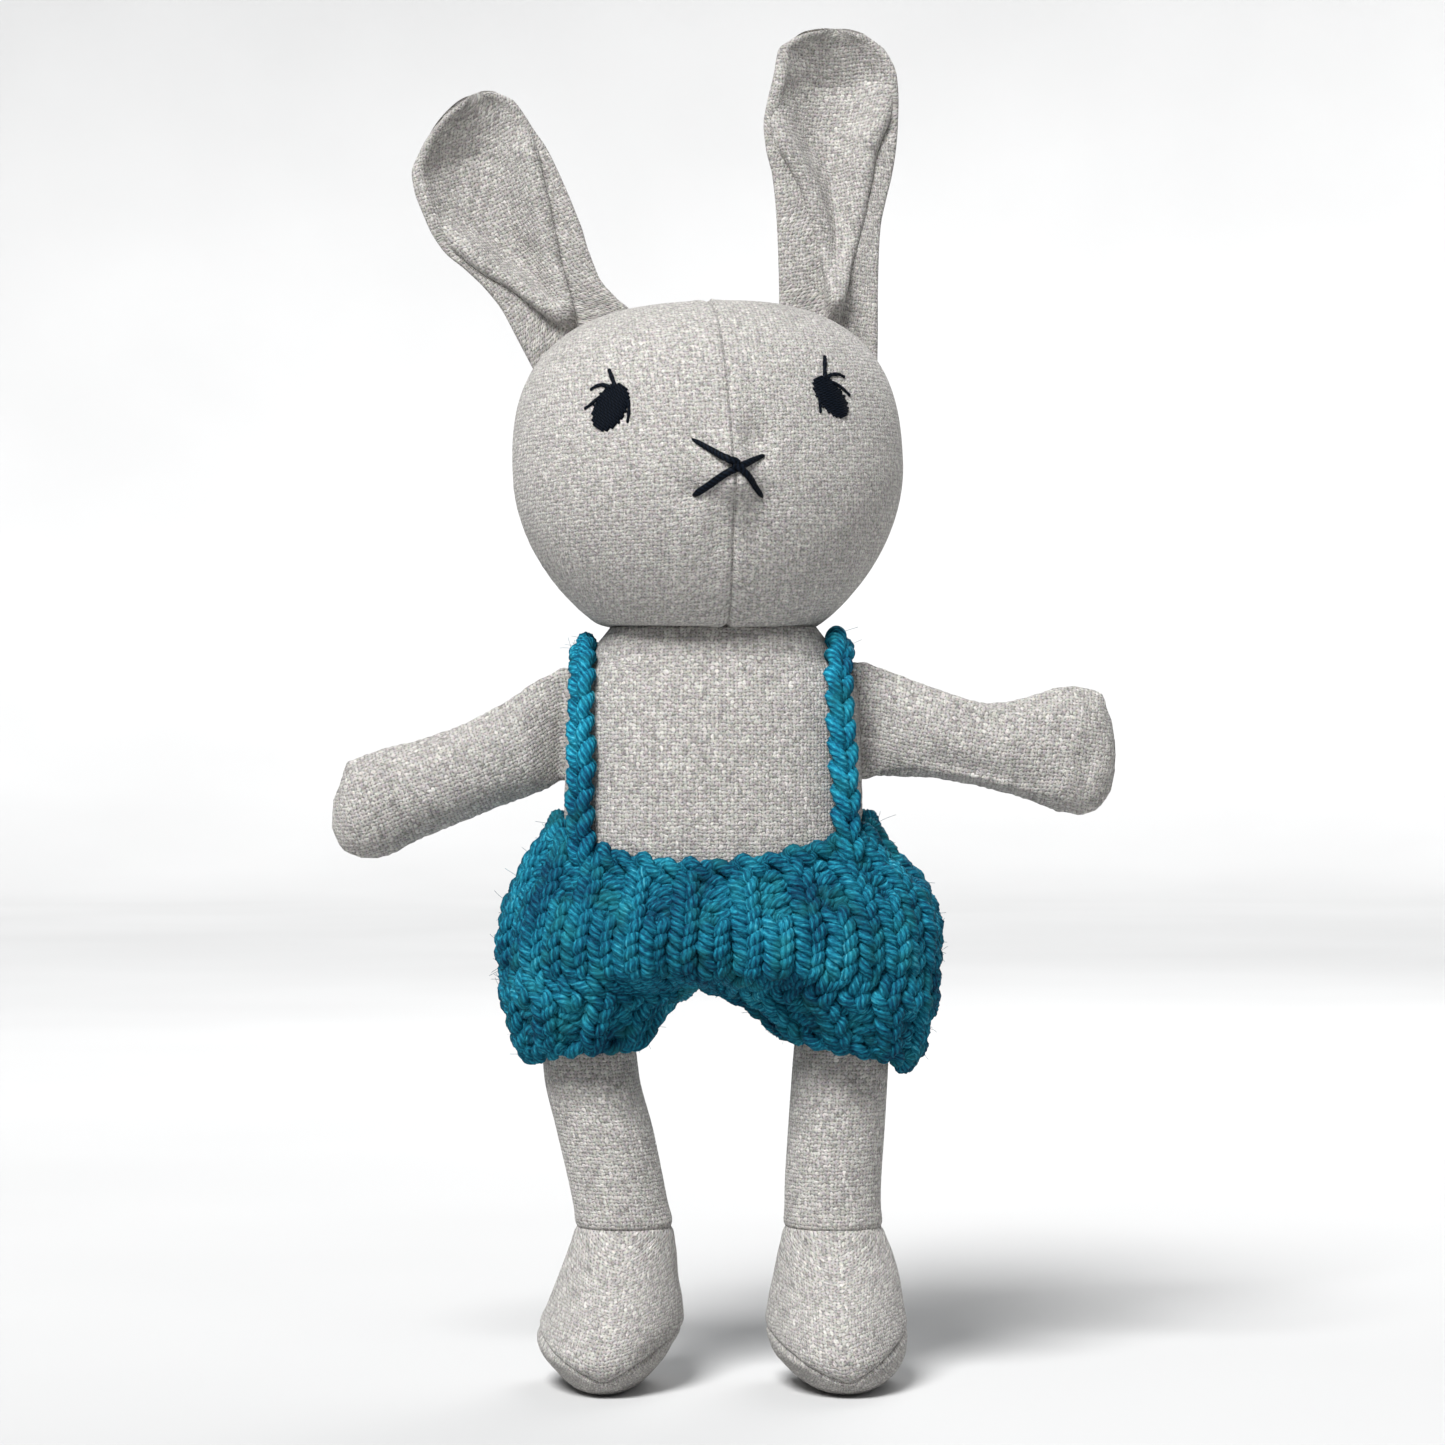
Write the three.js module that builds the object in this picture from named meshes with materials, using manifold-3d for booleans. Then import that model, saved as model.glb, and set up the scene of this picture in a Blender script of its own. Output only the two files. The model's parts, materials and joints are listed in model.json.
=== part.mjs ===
// A stuffed bunny rabbit: woven wool covers sewn in panels around soft filling, two-layer ears,
// an embroidered face, and knitted shorts with two shoulder straps.
// It stands upright and faces -Y. Millimetres, +Z up; left and right are as seen from the front.
import * as THREE from 'three';
import Module from 'manifold-3d';

const wasm = await Module();
wasm.setup();

// Driving dimensions
const CLOTH = 1.2; // woven wool cover
const GAP = 0.3; // clearance between pieces that touch
const FILLING_GAP = 2.2; // the filling stays this far inside its faceted cover
const KNIT = 3.2; // knitted fabric of the shorts
const CUFF_KNIT = 2.0; // the knit where it is pulled in at the leg openings
const THREAD = 0.9; // height of the embroidery above the face
const EAR_LAYER = 1.2; // one cloth layer of an ear

const HEAD = {
  centre: [-3.7, 0, 243],
  halfWidth: 51.5,
  front: 42,
  back: 38,
  rise: 44.8,
  drop: 44,
  squareRise: 2.7,
  squareDrop: 2.2,
  squareRing: 2.15,
  turn: 7.5,
  roll: -2.6,
  seamAngle: 4, // the ear seam runs this many degrees behind the widest line
  neckAngle: -62, // the cover stops here, where the neck goes in
};
const NOSE = { x: 0.4, z: -2, height: 3.2, spread: 8 };

const TORSO = {
  x: -2.4,
  square: 2.8,
  bottom: 126,
  // height, half width, depth in front, depth behind
  rows: [
    [126, 29, 16, 16],
    [128, 35, 21, 21],
    [133, 38.3, 25, 24.5],
    [145, 39.2, 26, 25],
    [160, 39, 25.5, 24.5],
    [175, 38.6, 24, 23.5],
    [184, 38, 22.5, 22],
    [190, 36.2, 20.5, 20.5],
    [193, 33.6, 19.5, 19.5],
    [195.6, 30.8, 19, 19],
    [198, 29.2, 18.6, 18.6],
    [200.6, 28.4, 18.2, 18.2],
  ],
};

// Each arm: distance out from the shoulder seam, height, half width, half depth, at stations along it
const ARM_SEAM_RADIUS = 40.2;
const ARMS = {
  left: {
    side: -1,
    rows: [
      [0, 176.6, 15.3, 1.9],
      [4, 174.4, 14.2, 4.8],
      [9.4, 171, 12.8, 8.4],
      [23.2, 164.8, 11.8, 10.6],
      [35, 160.4, 12.2, 10.8],
      [43, 157.8, 12.9, 10.6],
      [50.7, 154.4, 13.4, 9.8],
      [56, 152.8, 11, 7.6],
      [59.6, 152.8, 5.4, 3.8],
      [60.8, 153.1, 0, 0],
    ],
  },
  right: {
    side: 1,
    rows: [
      [0, 177.5, 15.5, 1.9],
      [4, 176.9, 13.8, 4.8],
      [9.3, 175.6, 12.4, 8.4],
      [20.7, 173.3, 10.8, 10.2],
      [30.1, 171.3, 10.5, 10.2],
      [36.5, 170.4, 11.3, 10.4],
      [45.1, 170.2, 13.8, 10.6],
      [53.3, 170, 16.2, 10.2],
      [59.2, 168.8, 16, 8.2],
      [63.8, 168.4, 10.4, 5.4],
      [66, 168.6, 0, 0],
    ],
  },
};

// Each leg: height, centre x, half width, depth in front, depth behind
const HIP_HEIGHT = 112;
const ANKLE = 44.2;
const LEGS = {
  left: {
    rows: [
      [3.3, -30.6, 7.5, 26, 9],
      [4.6, -30.8, 10, 31, 12],
      [7.6, -30.8, 13.2, 35.4, 13.6],
      [13, -31, 17.4, 38, 15],
      [18.6, -29.4, 18.8, 36, 15.4],
      [24.6, -28.2, 17.6, 30.6, 15],
      [31.2, -27.5, 15.7, 23, 14],
      [37.8, -26.5, 14.3, 16.6, 13],
      [44.2, -26, 12.8, 13, 12.4],
      [52, -27.3, 12.5, 12.6, 12.4],
      [70, -31.2, 12.7, 12.6, 12.6],
      [84, -34.6, 12.5, 12.4, 12.4],
      [100, -35.8, 12.3, 12.3, 12.3],
      [112, -35.8, 12.3, 12.3, 12.3],
    ],
  },
  right: {
    rows: [
      [3.3, 32, 8, 26, 9],
      [4.6, 32, 10.8, 31, 12],
      [7.6, 31.8, 14.6, 35.4, 13.6],
      [13, 30.6, 17.9, 38, 15],
      [18.6, 30, 18.5, 36, 15.4],
      [24.6, 29.8, 17.8, 30.6, 15],
      [31.2, 30, 16.6, 23, 14],
      [37.8, 29.7, 15, 16.6, 13],
      [44.2, 29.2, 13, 13, 12.4],
      [52, 29.1, 12.7, 12.6, 12.4],
      [70, 30.1, 12.7, 12.6, 12.6],
      [84, 31, 12.6, 12.4, 12.4],
      [100, 31.8, 12.3, 12.3, 12.3],
      [112, 31.8, 12.3, 12.3, 12.3],
    ],
  },
};
const UNDERSIDE = 3.3; // height of the flat underside of the feet in these rows
const SOLE_SEAM = { toe: 7.6, side: 18.2 }; // the sole's edge curls up at both sides of the foot

// Knitted shorts: height, centre x, half width, depth in front, depth behind
const SHORTS = {
  split: 126.9, // the waist above moves with the torso, the halves below bend with the legs
  crotch: -6.5,
  waistFront: 139.6,
  waistSide: 150.5,
  waistBack: 149,
  hip: [
    [103, -0.5, 44, 22, 24],
    [106, -0.6, 53, 31, 33],
    [111, -0.8, 58.4, 36.4, 37.4],
    [117, -0.9, 59.2, 38.4, 39],
    [124, -0.6, 58.4, 37.8, 38.4],
    [130, -0.6, 57, 35.6, 36.4],
    [137, -0.8, 54.2, 32.6, 33.2],
    [143.4, -2.4, 49.6, 30.4, 30.4],
    [151, -2.4, 44, 29.8, 29],
  ],
  legs: {
    left: [
      [88.2, -37.4, 16.4, 16.6, 16.6],
      [92, -37.6, 18.4, 19, 19],
      [98, -36.6, 21.4, 23, 23],
      [105, -35, 24.6, 28, 28],
      [113, -33.8, 25.6, 31, 31],
    ],
    right: [
      [86, 34, 17.4, 17.2, 17.2],
      [90, 34.6, 19.2, 19.4, 19.4],
      [97, 33, 22.8, 23.4, 23.4],
      [104, 30.4, 27.8, 28.4, 28.4],
      [113, 29, 28.8, 31, 31],
    ],
  },
};

// Distances of the straps from the torso's middle, and the heights of their ends
const STRAP = {
  halfWidth: 3.4,
  thickness: 2.8,
  frontEnd: 147,
  backEnd: 152,
  shoulders: 170, // above this height the strap turns over the shoulder
  left: { waist: -32.4, shoulder: -32.4 },
  right: { waist: 33, shoulder: 31.4 },
};

// Colours and finish
const WOOL = { color: 0xbdb8b2, roughness: 0.95, metalness: 0 };
const EAR_WOOL = { color: 0xc4c0ba, roughness: 0.95, metalness: 0 };
const FILLING = { color: 0xe8e4da, roughness: 1, metalness: 0 };
const KNITTED = { color: 0x1f6683, roughness: 0.9, metalness: 0 };
const EMBROIDERY = { color: 0x1b252f, roughness: 0.55, metalness: 0 };
const SEWING_THREAD = { color: 0x8f8b86, roughness: 0.8, metalness: 0 };

const STRAP_GAP = 1.4; // a strap keeps this far off the faceted cloth
const ORIGIN_SHIFT = [-0.2, 2.4, -UNDERSIDE]; // puts the origin on the floor, under the rabbit's middle

const radians = THREE.MathUtils.degToRad;
const TURN = 2 * Math.PI;

// ---------- Interpolation and surfaces ----------

// Values of the rows at t, the rows' first column, along smooth curves that never overshoot
function smooth(rows, t) {
  const last = rows.length - 1;
  const at = THREE.MathUtils.clamp(t, rows[0][0], rows[last][0]);
  let i = 0;
  while (i < last - 1 && at > rows[i + 1][0]) i += 1;
  const span = rows[i + 1][0] - rows[i][0];
  const f = (at - rows[i][0]) / span;
  const slope = (k, column) => {
    if (k === 0 || k === last) return 0;
    const before = (rows[k][column] - rows[k - 1][column]) / (rows[k][0] - rows[k - 1][0]);
    const after = (rows[k + 1][column] - rows[k][column]) / (rows[k + 1][0] - rows[k][0]);
    return before * after > 0 ? (2 * before * after) / (before + after) : 0;
  };
  const values = [];
  for (let c = 1; c < rows[0].length; c += 1) {
    const a = rows[i][c];
    const b = rows[i + 1][c];
    const start = i === 0 ? (b - a) / span : slope(i, c);
    const end = i + 1 === last ? (b - a) / span : slope(i + 1, c);
    const f2 = f * f;
    const f3 = f2 * f;
    values.push(
      a * (2 * f3 - 3 * f2 + 1) + b * (3 * f2 - 2 * f3)
        + start * span * (f3 - 2 * f2 + f) + end * span * (f3 - f2),
    );
  }
  return values;
}

const signedPower = (value, power) => Math.sign(value) * Math.abs(value) ** power;

// A point of a rounded-square ring: angle 0 is +X, -90 degrees is the front
function ringPoint(angle, halfWidth, front, back, square) {
  const depth = Math.sin(angle) < 0 ? front : back;
  return [
    halfWidth * signedPower(Math.cos(angle), 2 / square),
    depth * signedPower(Math.sin(angle), 2 / square),
  ];
}

// The head, from its own centre; lift runs from -90 degrees at the bottom to 90 at the top
function headPoint(angle, lift) {
  const up = lift > 0;
  const square = up ? HEAD.squareRise : HEAD.squareDrop;
  const reach = Math.max(0, Math.cos(lift)) ** (2 / square);
  const z = (up ? HEAD.rise : HEAD.drop) * signedPower(Math.sin(lift), 2 / square);
  const [x, y] = ringPoint(angle, HEAD.halfWidth, HEAD.front, HEAD.back, HEAD.squareRing);
  const ahead = Math.sin(angle) < 0 ? noseHeight(x * reach, z) : 0;
  return new THREE.Vector3(x * reach, y * reach - ahead, z);
}

function noseHeight(x, z) {
  const distance = Math.hypot(x - NOSE.x, z - NOSE.z) / NOSE.spread;
  return NOSE.height * Math.exp(-distance * distance);
}

// The point of the face straight behind x and z
function facePoint(x, z) {
  const square = z > 0 ? HEAD.squareRise : HEAD.squareDrop;
  const share = Math.abs(z) / (z > 0 ? HEAD.rise : HEAD.drop);
  const reach = (1 - share ** square) ** (1 / square);
  const ring = HEAD.squareRing;
  const inside = reach ** ring - (Math.abs(x) / HEAD.halfWidth) ** ring;
  return new THREE.Vector3(x, -HEAD.front * inside ** (1 / ring) - noseHeight(x, z), z);
}

// Below the first row the ring shrinks to its centre, which closes the flat bottom
function torsoPoint(angle, t) {
  const [halfWidth, front, back] = smooth(TORSO.rows, t);
  const share = Math.min(1, Math.max(0, 1 + (t - TORSO.bottom) / 10));
  const [x, y] = ringPoint(angle, halfWidth, front, back, TORSO.square);
  return new THREE.Vector3(TORSO.x + x * share, y * share, Math.max(t, TORSO.bottom));
}

// The sections turn from the upright shoulder seam to square with the arm's own line
function armSurface({ side, rows }) {
  const line = (s) => smooth(rows, s);
  return (angle, s) => {
    const [height, halfWidth, halfDepth] = line(s);
    const slope = Math.atan2(line(s + 4)[0] - line(s - 4)[0], 8);
    const tilt = slope * Math.min(1, s / 14);
    const [up, y] = ringPoint(angle, halfWidth, halfDepth, halfDepth, 2.1);
    const out = ARM_SEAM_RADIUS + s - up * Math.sin(tilt);
    return new THREE.Vector3(TORSO.x + side * out, y, height + up * Math.cos(tilt));
  };
}

// The flat underside closes below the first row, and a ball closes the hip end above the last
function legSurface({ rows }) {
  return (angle, t) => {
    const z = THREE.MathUtils.clamp(t, UNDERSIDE, HIP_HEIGHT);
    const [centre, halfWidth, front, back] = smooth(rows, z);
    let share = 1;
    let height = z;
    if (t < UNDERSIDE) share = Math.max(0, 1 + (t - UNDERSIDE) / 10);
    if (t > HIP_HEIGHT) {
      const lift = Math.min(1, (t - HIP_HEIGHT) / 10) * (Math.PI / 2);
      share = Math.cos(lift);
      height = HIP_HEIGHT + halfWidth * Math.sin(lift);
    }
    const [x, y] = ringPoint(angle, halfWidth, front, back, 2.1);
    return new THREE.Vector3(centre + x * share, y * share, height);
  };
}

function rowSurface(rows, square, inset = 0) {
  return (angle, z) => {
    const [centre, halfWidth, front, back] = smooth(rows, z);
    const [x, y] = ringPoint(angle, halfWidth - inset, front - inset, back - inset, square);
    return new THREE.Vector3(centre + x, y, z);
  };
}

// ---------- Closed meshes ----------

// Outward unit normal of a surface around a middle line; at a pole it is the mean of its neighbours
function outward(surface, step = 0.02) {
  const middle = (v) => {
    const sum = new THREE.Vector3();
    for (let k = 0; k < 8; k += 1) sum.add(surface((k / 8) * TURN, v));
    return sum.multiplyScalar(1 / 8);
  };
  const raw = (u, v) => {
    const across = surface(u + step, v).sub(surface(u - step, v));
    const along = surface(u, v + step).sub(surface(u, v - step));
    const normal = across.cross(along);
    if (normal.dot(surface(u, v).sub(middle(v))) < 0) normal.negate();
    return normal;
  };
  return (u, v, inwardV) => {
    const normal = raw(u, v);
    if (surface(u, v).distanceTo(surface(u + Math.PI / 2, v)) > 0.05) return normal.normalize();
    const sum = new THREE.Vector3();
    for (let k = 0; k < 8; k += 1) sum.add(raw((k / 8) * TURN, v + inwardV).normalize());
    return sum.normalize();
  };
}

// Joins points that coincide, drops empty triangles and turns the faces outward
function closedGeometry(points, triangles) {
  const found = new Map();
  const vertices = [];
  const index = points.map((p) => {
    const key = [p.x, p.y, p.z].map((value) => Math.round(value * 2000)).join(' ');
    if (!found.has(key)) {
      found.set(key, vertices.length);
      vertices.push(p);
    }
    return found.get(key);
  });
  const faces = triangles
    .map((triangle) => triangle.map((k) => index[k]))
    .filter(([a, b, c]) => a !== b && b !== c && c !== a);
  const volume = faces.reduce((sum, [a, b, c]) => {
    const normal = vertices[b].clone().cross(vertices[c]);
    return sum + vertices[a].dot(normal);
  }, 0);
  if (volume < 0) faces.forEach((face) => face.reverse());
  const geometry = new THREE.BufferGeometry();
  const flat = vertices.flatMap((p) => [p.x, p.y, p.z]);
  geometry.setAttribute('position', new THREE.Float32BufferAttribute(flat, 3));
  geometry.setIndex(faces.flat());
  geometry.computeVertexNormals();
  return geometry;
}

// A panel of cloth between two distances from a surface. u and v are [from, to], and a limit of v
// may be a function of u. A panel that goes all the way round has no side walls.
function panel(surface, normal, { u, v, across, along, outer = 0, inner = -CLOTH, round = false }) {
  const limit = (value, at) => (typeof value === 'function' ? value(at) : value);
  const heights = [outer, inner].map((h) => (typeof h === 'function' ? h : () => h));
  const columns = round ? across : across + 1;
  const points = [];
  for (const height of heights) {
    for (let j = 0; j <= along; j += 1) {
      for (let i = 0; i < columns; i += 1) {
        const at = u[0] + ((u[1] - u[0]) * i) / across;
        const [from, to] = [limit(v[0], at), limit(v[1], at)];
        const v1 = from + ((to - from) * j) / along;
        const inwardV = ((to - from) / along) * 0.3 * (j === 0 ? 1 : -1);
        const n = normal(at, v1, inwardV);
        points.push(surface(at, v1).addScaledVector(n, height(at, v1)));
      }
    }
  }
  const layer = columns * (along + 1);
  const id = (side, i, j) => side * layer + j * columns + (i % columns);
  const triangles = [];
  const quad = (a, b, c, d) => triangles.push([a, b, c], [a, c, d]);
  for (let j = 0; j < along; j += 1) {
    for (let i = 0; i < across; i += 1) {
      quad(id(0, i, j), id(0, i + 1, j), id(0, i + 1, j + 1), id(0, i, j + 1));
      quad(id(1, i, j), id(1, i, j + 1), id(1, i + 1, j + 1), id(1, i + 1, j));
    }
  }
  for (let i = 0; i < across; i += 1) {
    quad(id(0, i, 0), id(1, i, 0), id(1, i + 1, 0), id(0, i + 1, 0));
    quad(id(0, i, along), id(0, i + 1, along), id(1, i + 1, along), id(1, i, along));
  }
  for (let j = 0; j < along && !round; j += 1) {
    quad(id(0, 0, j), id(0, 0, j + 1), id(1, 0, j + 1), id(1, 0, j));
    quad(id(0, across, j), id(1, across, j), id(1, across, j + 1), id(0, across, j + 1));
  }
  return closedGeometry(points, triangles);
}

// A solid filling inside a surface, closed by a flat or pointed end at both limits of v
function filling(surface, normal, { v, across, along, inset = CLOTH + FILLING_GAP }) {
  const points = [];
  for (let j = 0; j <= along; j += 1) {
    const v1 = v[0] + ((v[1] - v[0]) * j) / along;
    const inwardV = ((v[1] - v[0]) / along) * 0.3 * (j === 0 ? 1 : -1);
    for (let i = 0; i < across; i += 1) {
      const u = (i / across) * TURN;
      points.push(surface(u, v1).addScaledVector(normal(u, v1, inwardV), -inset));
    }
  }
  const ends = [0, along].map((j) => {
    const sum = new THREE.Vector3();
    for (let i = 0; i < across; i += 1) sum.add(points[j * across + i]);
    return points.push(sum.multiplyScalar(1 / across)) - 1;
  });
  const triangles = [];
  for (let i = 0; i < across; i += 1) {
    const k = (i + 1) % across;
    for (let j = 0; j < along; j += 1) {
      const [a, b] = [j * across + i, j * across + k];
      triangles.push([a, b, b + across], [a, b + across, a + across]);
    }
    triangles.push([k, i, ends[0]], [along * across + i, along * across + k, ends[1]]);
  }
  return closedGeometry(points, triangles);
}

function toSolid(geometry) {
  return new wasm.Manifold(new wasm.Mesh({
    numProp: 3,
    vertProperties: new Float32Array(geometry.getAttribute('position').array),
    triVerts: new Uint32Array(geometry.getIndex().array),
  }));
}

function toGeometry(solid) {
  const mesh = solid.getMesh();
  const geometry = new THREE.BufferGeometry();
  geometry.setAttribute('position', new THREE.BufferAttribute(mesh.vertProperties, 3));
  geometry.setIndex(new THREE.BufferAttribute(mesh.triVerts, 1));
  geometry.computeVertexNormals();
  return geometry;
}

// A solid block between two corners, for cutting
function block(low, high) {
  const size = high.map((value, k) => value - low[k]);
  const box = new THREE.BoxGeometry(...size);
  box.translate(...low.map((value, k) => value + size[k] / 2));
  const position = box.getAttribute('position');
  const points = [];
  for (let k = 0; k < position.count; k += 1) {
    points.push(new THREE.Vector3().fromBufferAttribute(position, k));
  }
  const index = [...box.getIndex().array];
  const triangles = [];
  for (let k = 0; k < index.length; k += 3) triangles.push(index.slice(k, k + 3));
  return toSolid(closedGeometry(points, triangles));
}

function addPiece(group, name, geometry, finish) {
  const mesh = new THREE.Mesh(geometry, new THREE.MeshStandardMaterial(finish));
  mesh.name = name;
  group.add(mesh);
  return mesh;
}

// Moves a panel off its seam by half the gap
const offSeam = (geometry, x, y) => geometry.translate((x * GAP) / 2, (y * GAP) / 2, 0);

// ---------- Head ----------

function makeHead() {
  const head = new THREE.Group();
  head.position.set(...HEAD.centre);
  head.rotation.set(0, radians(HEAD.roll), radians(HEAD.turn));
  const normal = outward(headPoint, 0.002);
  const seam = radians(HEAD.seamAngle);
  const v = [radians(HEAD.neckAngle), Math.PI / 2];
  const faces = { left: [-Math.PI - seam, -Math.PI / 2], right: [-Math.PI / 2, seam] };
  for (const [side, u] of Object.entries(faces)) {
    const cloth = panel(headPoint, normal, { u, v, across: 6, along: 9 });
    const x = side === 'left' ? -1 : 1;
    addPiece(head, `face_panel_${side}`, offSeam(cloth, x, -1), WOOL);
  }
  const back = panel(headPoint, normal, { u: [seam, Math.PI - seam], v, across: 10, along: 9 });
  addPiece(head, 'head_back_panel', offSeam(back, 0, 1), WOOL);
  const inside = filling(headPoint, normal, { v, across: 16, along: 8 });
  addPiece(head, 'head_stuffing', inside, FILLING);
  return head;
}

// A flat stroke of thread on the face along points [x, z], with its half width at each point
function stroke(points, lift = () => 0) {
  const curve = new THREE.CatmullRomCurve3(points.map(([x, z]) => new THREE.Vector3(x, 0, z)));
  const widths = points.map(([, , halfWidth], k) => [k / (points.length - 1), halfWidth]);
  const surface = (side, t) => {
    const at = curve.getPoint(t);
    const [x, , z] = curve.getTangent(t);
    const halfWidth = smooth(widths, t)[0];
    return facePoint(at.x + side * halfWidth * z, at.z - side * halfWidth * x);
  };
  return panel(surface, () => new THREE.Vector3(0, -1, 0), {
    u: [-1, 1],
    v: [0, 1],
    across: 2,
    along: (points.length - 1) * 2,
    outer: (side, t) => GAP + lift(t) + THREAD * (1 - 0.5 * side * side),
    inner: (side, t) => GAP + lift(t),
  });
}

// A satin-stitched oval with its lashes, in one piece
function eye({ centre, long, short, slant, lashes }) {
  const [c, s] = [Math.cos(radians(slant)), Math.sin(radians(slant))];
  const surface = (angle, reach) => {
    const [a, b] = [long * reach * Math.cos(angle), short * reach * Math.sin(angle)];
    return facePoint(centre[0] + a * c - b * s, centre[1] + a * s + b * c);
  };
  const oval = panel(surface, () => new THREE.Vector3(0, -1, 0), {
    u: [0, TURN],
    v: [0, 1],
    across: 12,
    along: 2,
    outer: (angle, reach) => GAP + THREAD * (1.2 - 0.5 * reach * reach),
    inner: GAP,
    round: true,
  });
  return toGeometry(lashes.reduce((solid, lash) => solid.add(toSolid(stroke(lash))), toSolid(oval)));
}

// Ovals and lashes in the head's own x and z; a lash is a list of [x, z, half width]
const EYES = {
  left: {
    centre: [-28.9, 15.9],
    long: 6.3,
    short: 4.1,
    slant: 41,
    lashes: [
      [[-28, 17.6, 0.6], [-28, 21, 0.55], [-28.5, 26, 0.3]],
      [[-29.6, 17.6, 0.6], [-30, 20.6, 0.6], [-31.4, 21.6, 0.5], [-33.9, 20.4, 0.3]],
      [[-30, 16.8, 0.6], [-32.4, 17.5, 0.5], [-35.3, 15.7, 0.3]],
      [[-27, 15.2, 0.4], [-25, 14.6, 0.4], [-25.2, 11, 0.25]],
    ],
  },
  right: {
    centre: [28, 16.2],
    long: 6.3,
    short: 3.4,
    slant: -57,
    lashes: [
      [[27.2, 18, 0.6], [26.8, 21.8, 0.55], [27.6, 27.2, 0.3]],
      [[28, 18, 0.6], [28.4, 21.4, 0.6], [30.3, 22.4, 0.5], [32.9, 21.5, 0.3]],
      [[28.8, 17.4, 0.6], [31.4, 18.4, 0.5], [33.8, 16.5, 0.3]],
      [[27, 15.6, 0.4], [24.8, 15, 0.4], [24.9, 11.5, 0.25]],
    ],
  },
};

// The nose and mouth: two crossed strokes, the first lying over the second
const NOSE_STROKES = {
  over: [[-9.5, 6.6, 0.5], [-0.8, 0.3, 0.8], [3, -3, 0.8], [8.3, -9.1, 0.5]],
  under: [[-9.3, -8, 0.9], [-1.2, -3, 0.8], [4, -0.6, 0.7], [9.2, 1.5, 0.45]],
};
const CROSSING = { at: 0.42, spread: 0.17 };

function addFace(head) {
  addPiece(head, 'eye_left', eye(EYES.left), EMBROIDERY);
  addPiece(head, 'eye_right', eye(EYES.right), EMBROIDERY);
  const hump = (t) => (THREAD + 2 * GAP) * Math.exp(-(((t - CROSSING.at) / CROSSING.spread) ** 4));
  addPiece(head, 'nose_stitch_over', stroke(NOSE_STROKES.over, hump), EMBROIDERY);
  addPiece(head, 'nose_stitch_under', stroke(NOSE_STROKES.under), EMBROIDERY);
}

// ---------- Ears ----------

// Distance from the root, left edge, right edge, seen from the front
const EARS = {
  left: {
    root: [-31.7, 9, 39.6],
    lean: -19.4,
    rows: [
      [-12, -14.5, 14.8],
      [0, -15.8, 14.6],
      [4, -16.2, 12.6],
      [11.7, -17, 10.2],
      [18.8, -19, 10.3],
      [25.6, -22, 10.9],
      [32.7, -25.7, 10.9],
      [39.9, -27, 10.7],
      [47.2, -27.1, 10.2],
      [54, -26, 8.7],
      [59.5, -21.9, 7.6],
      [62.6, -18.6, 6.6],
      [65, -15, 4.4],
      [66.8, -10, 2.2],
      [67.8, -5, -1],
    ],
  },
  right: {
    root: [34.6, 9, 37.4],
    lean: 2.6,
    rows: [
      [-12, -13, 13.8],
      [1.5, -12.9, 14],
      [8, -12.7, 14],
      [21.3, -13, 14.3],
      [28, -13.3, 14.8],
      [34.8, -13.8, 16.2],
      [41.4, -14.6, 17.8],
      [48.1, -16.2, 18.9],
      [54.8, -16.8, 19.5],
      [61.5, -15.7, 19.7],
      [68.2, -14.1, 19.2],
      [74.8, -12.8, 16.2],
      [77.5, -9.2, 13],
      [79, -6.2, 10.3],
      [80, -1.5, 6.5],
      [80.4, 1, 4],
    ],
  },
};
const EAR_CUP = 4; // how far the middle of an ear lies behind its edges
const EAR_CLEARANCE = 1.7; // room for an ear to flop on the head

function addEars(head) {
  const normal = outward(headPoint, 0.002);
  const limits = { v: [-Math.PI / 2, Math.PI / 2], across: 32, along: 20 };
  const swollenHead = filling(headPoint, normal, { ...limits, inset: -EAR_CLEARANCE });
  for (const [side, { root, lean, rows }] of Object.entries(EARS)) {
    const ear = new THREE.Group();
    ear.position.set(...root);
    ear.rotation.set(0, radians(lean), 0);
    ear.updateMatrix();
    head.add(ear);
    const tip = rows[rows.length - 1][0];
    // the sections crowd together towards the rounded tip; the ear is flat where it is sewn on
    const surface = (share, t) => {
      const s = rows[0][0] + (tip - rows[0][0]) * (1 - (1 - t) ** 1.7);
      const [left, right] = smooth(rows, s);
      const rising = THREE.MathUtils.smoothstep(s, 2, 22);
      const cup = EAR_CUP * rising * (1 - (2 * share - 1) ** 2) * Math.min(1, (tip - s) / 12 + 0.2);
      return new THREE.Vector3(left + (right - left) * share, cup, s);
    };
    const limit = { u: [0, 1], v: [0, 1], across: 4, along: 11 };
    const forward = () => new THREE.Vector3(0, -1, 0);
    const cutter = toSolid(swollenHead.clone().applyMatrix4(ear.matrix.clone().invert()));
    const half = GAP / 2;
    const layers = { front: [half + EAR_LAYER, half], back: [-half, -half - EAR_LAYER] };
    for (const [layer, [outer, inner]] of Object.entries(layers)) {
      const cloth = toSolid(panel(surface, forward, { ...limit, outer, inner }));
      addPiece(ear, `ear_${side}_${layer}`, toGeometry(cloth.subtract(cutter)), EAR_WOOL);
    }
  }
}

// ---------- Torso ----------

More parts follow.
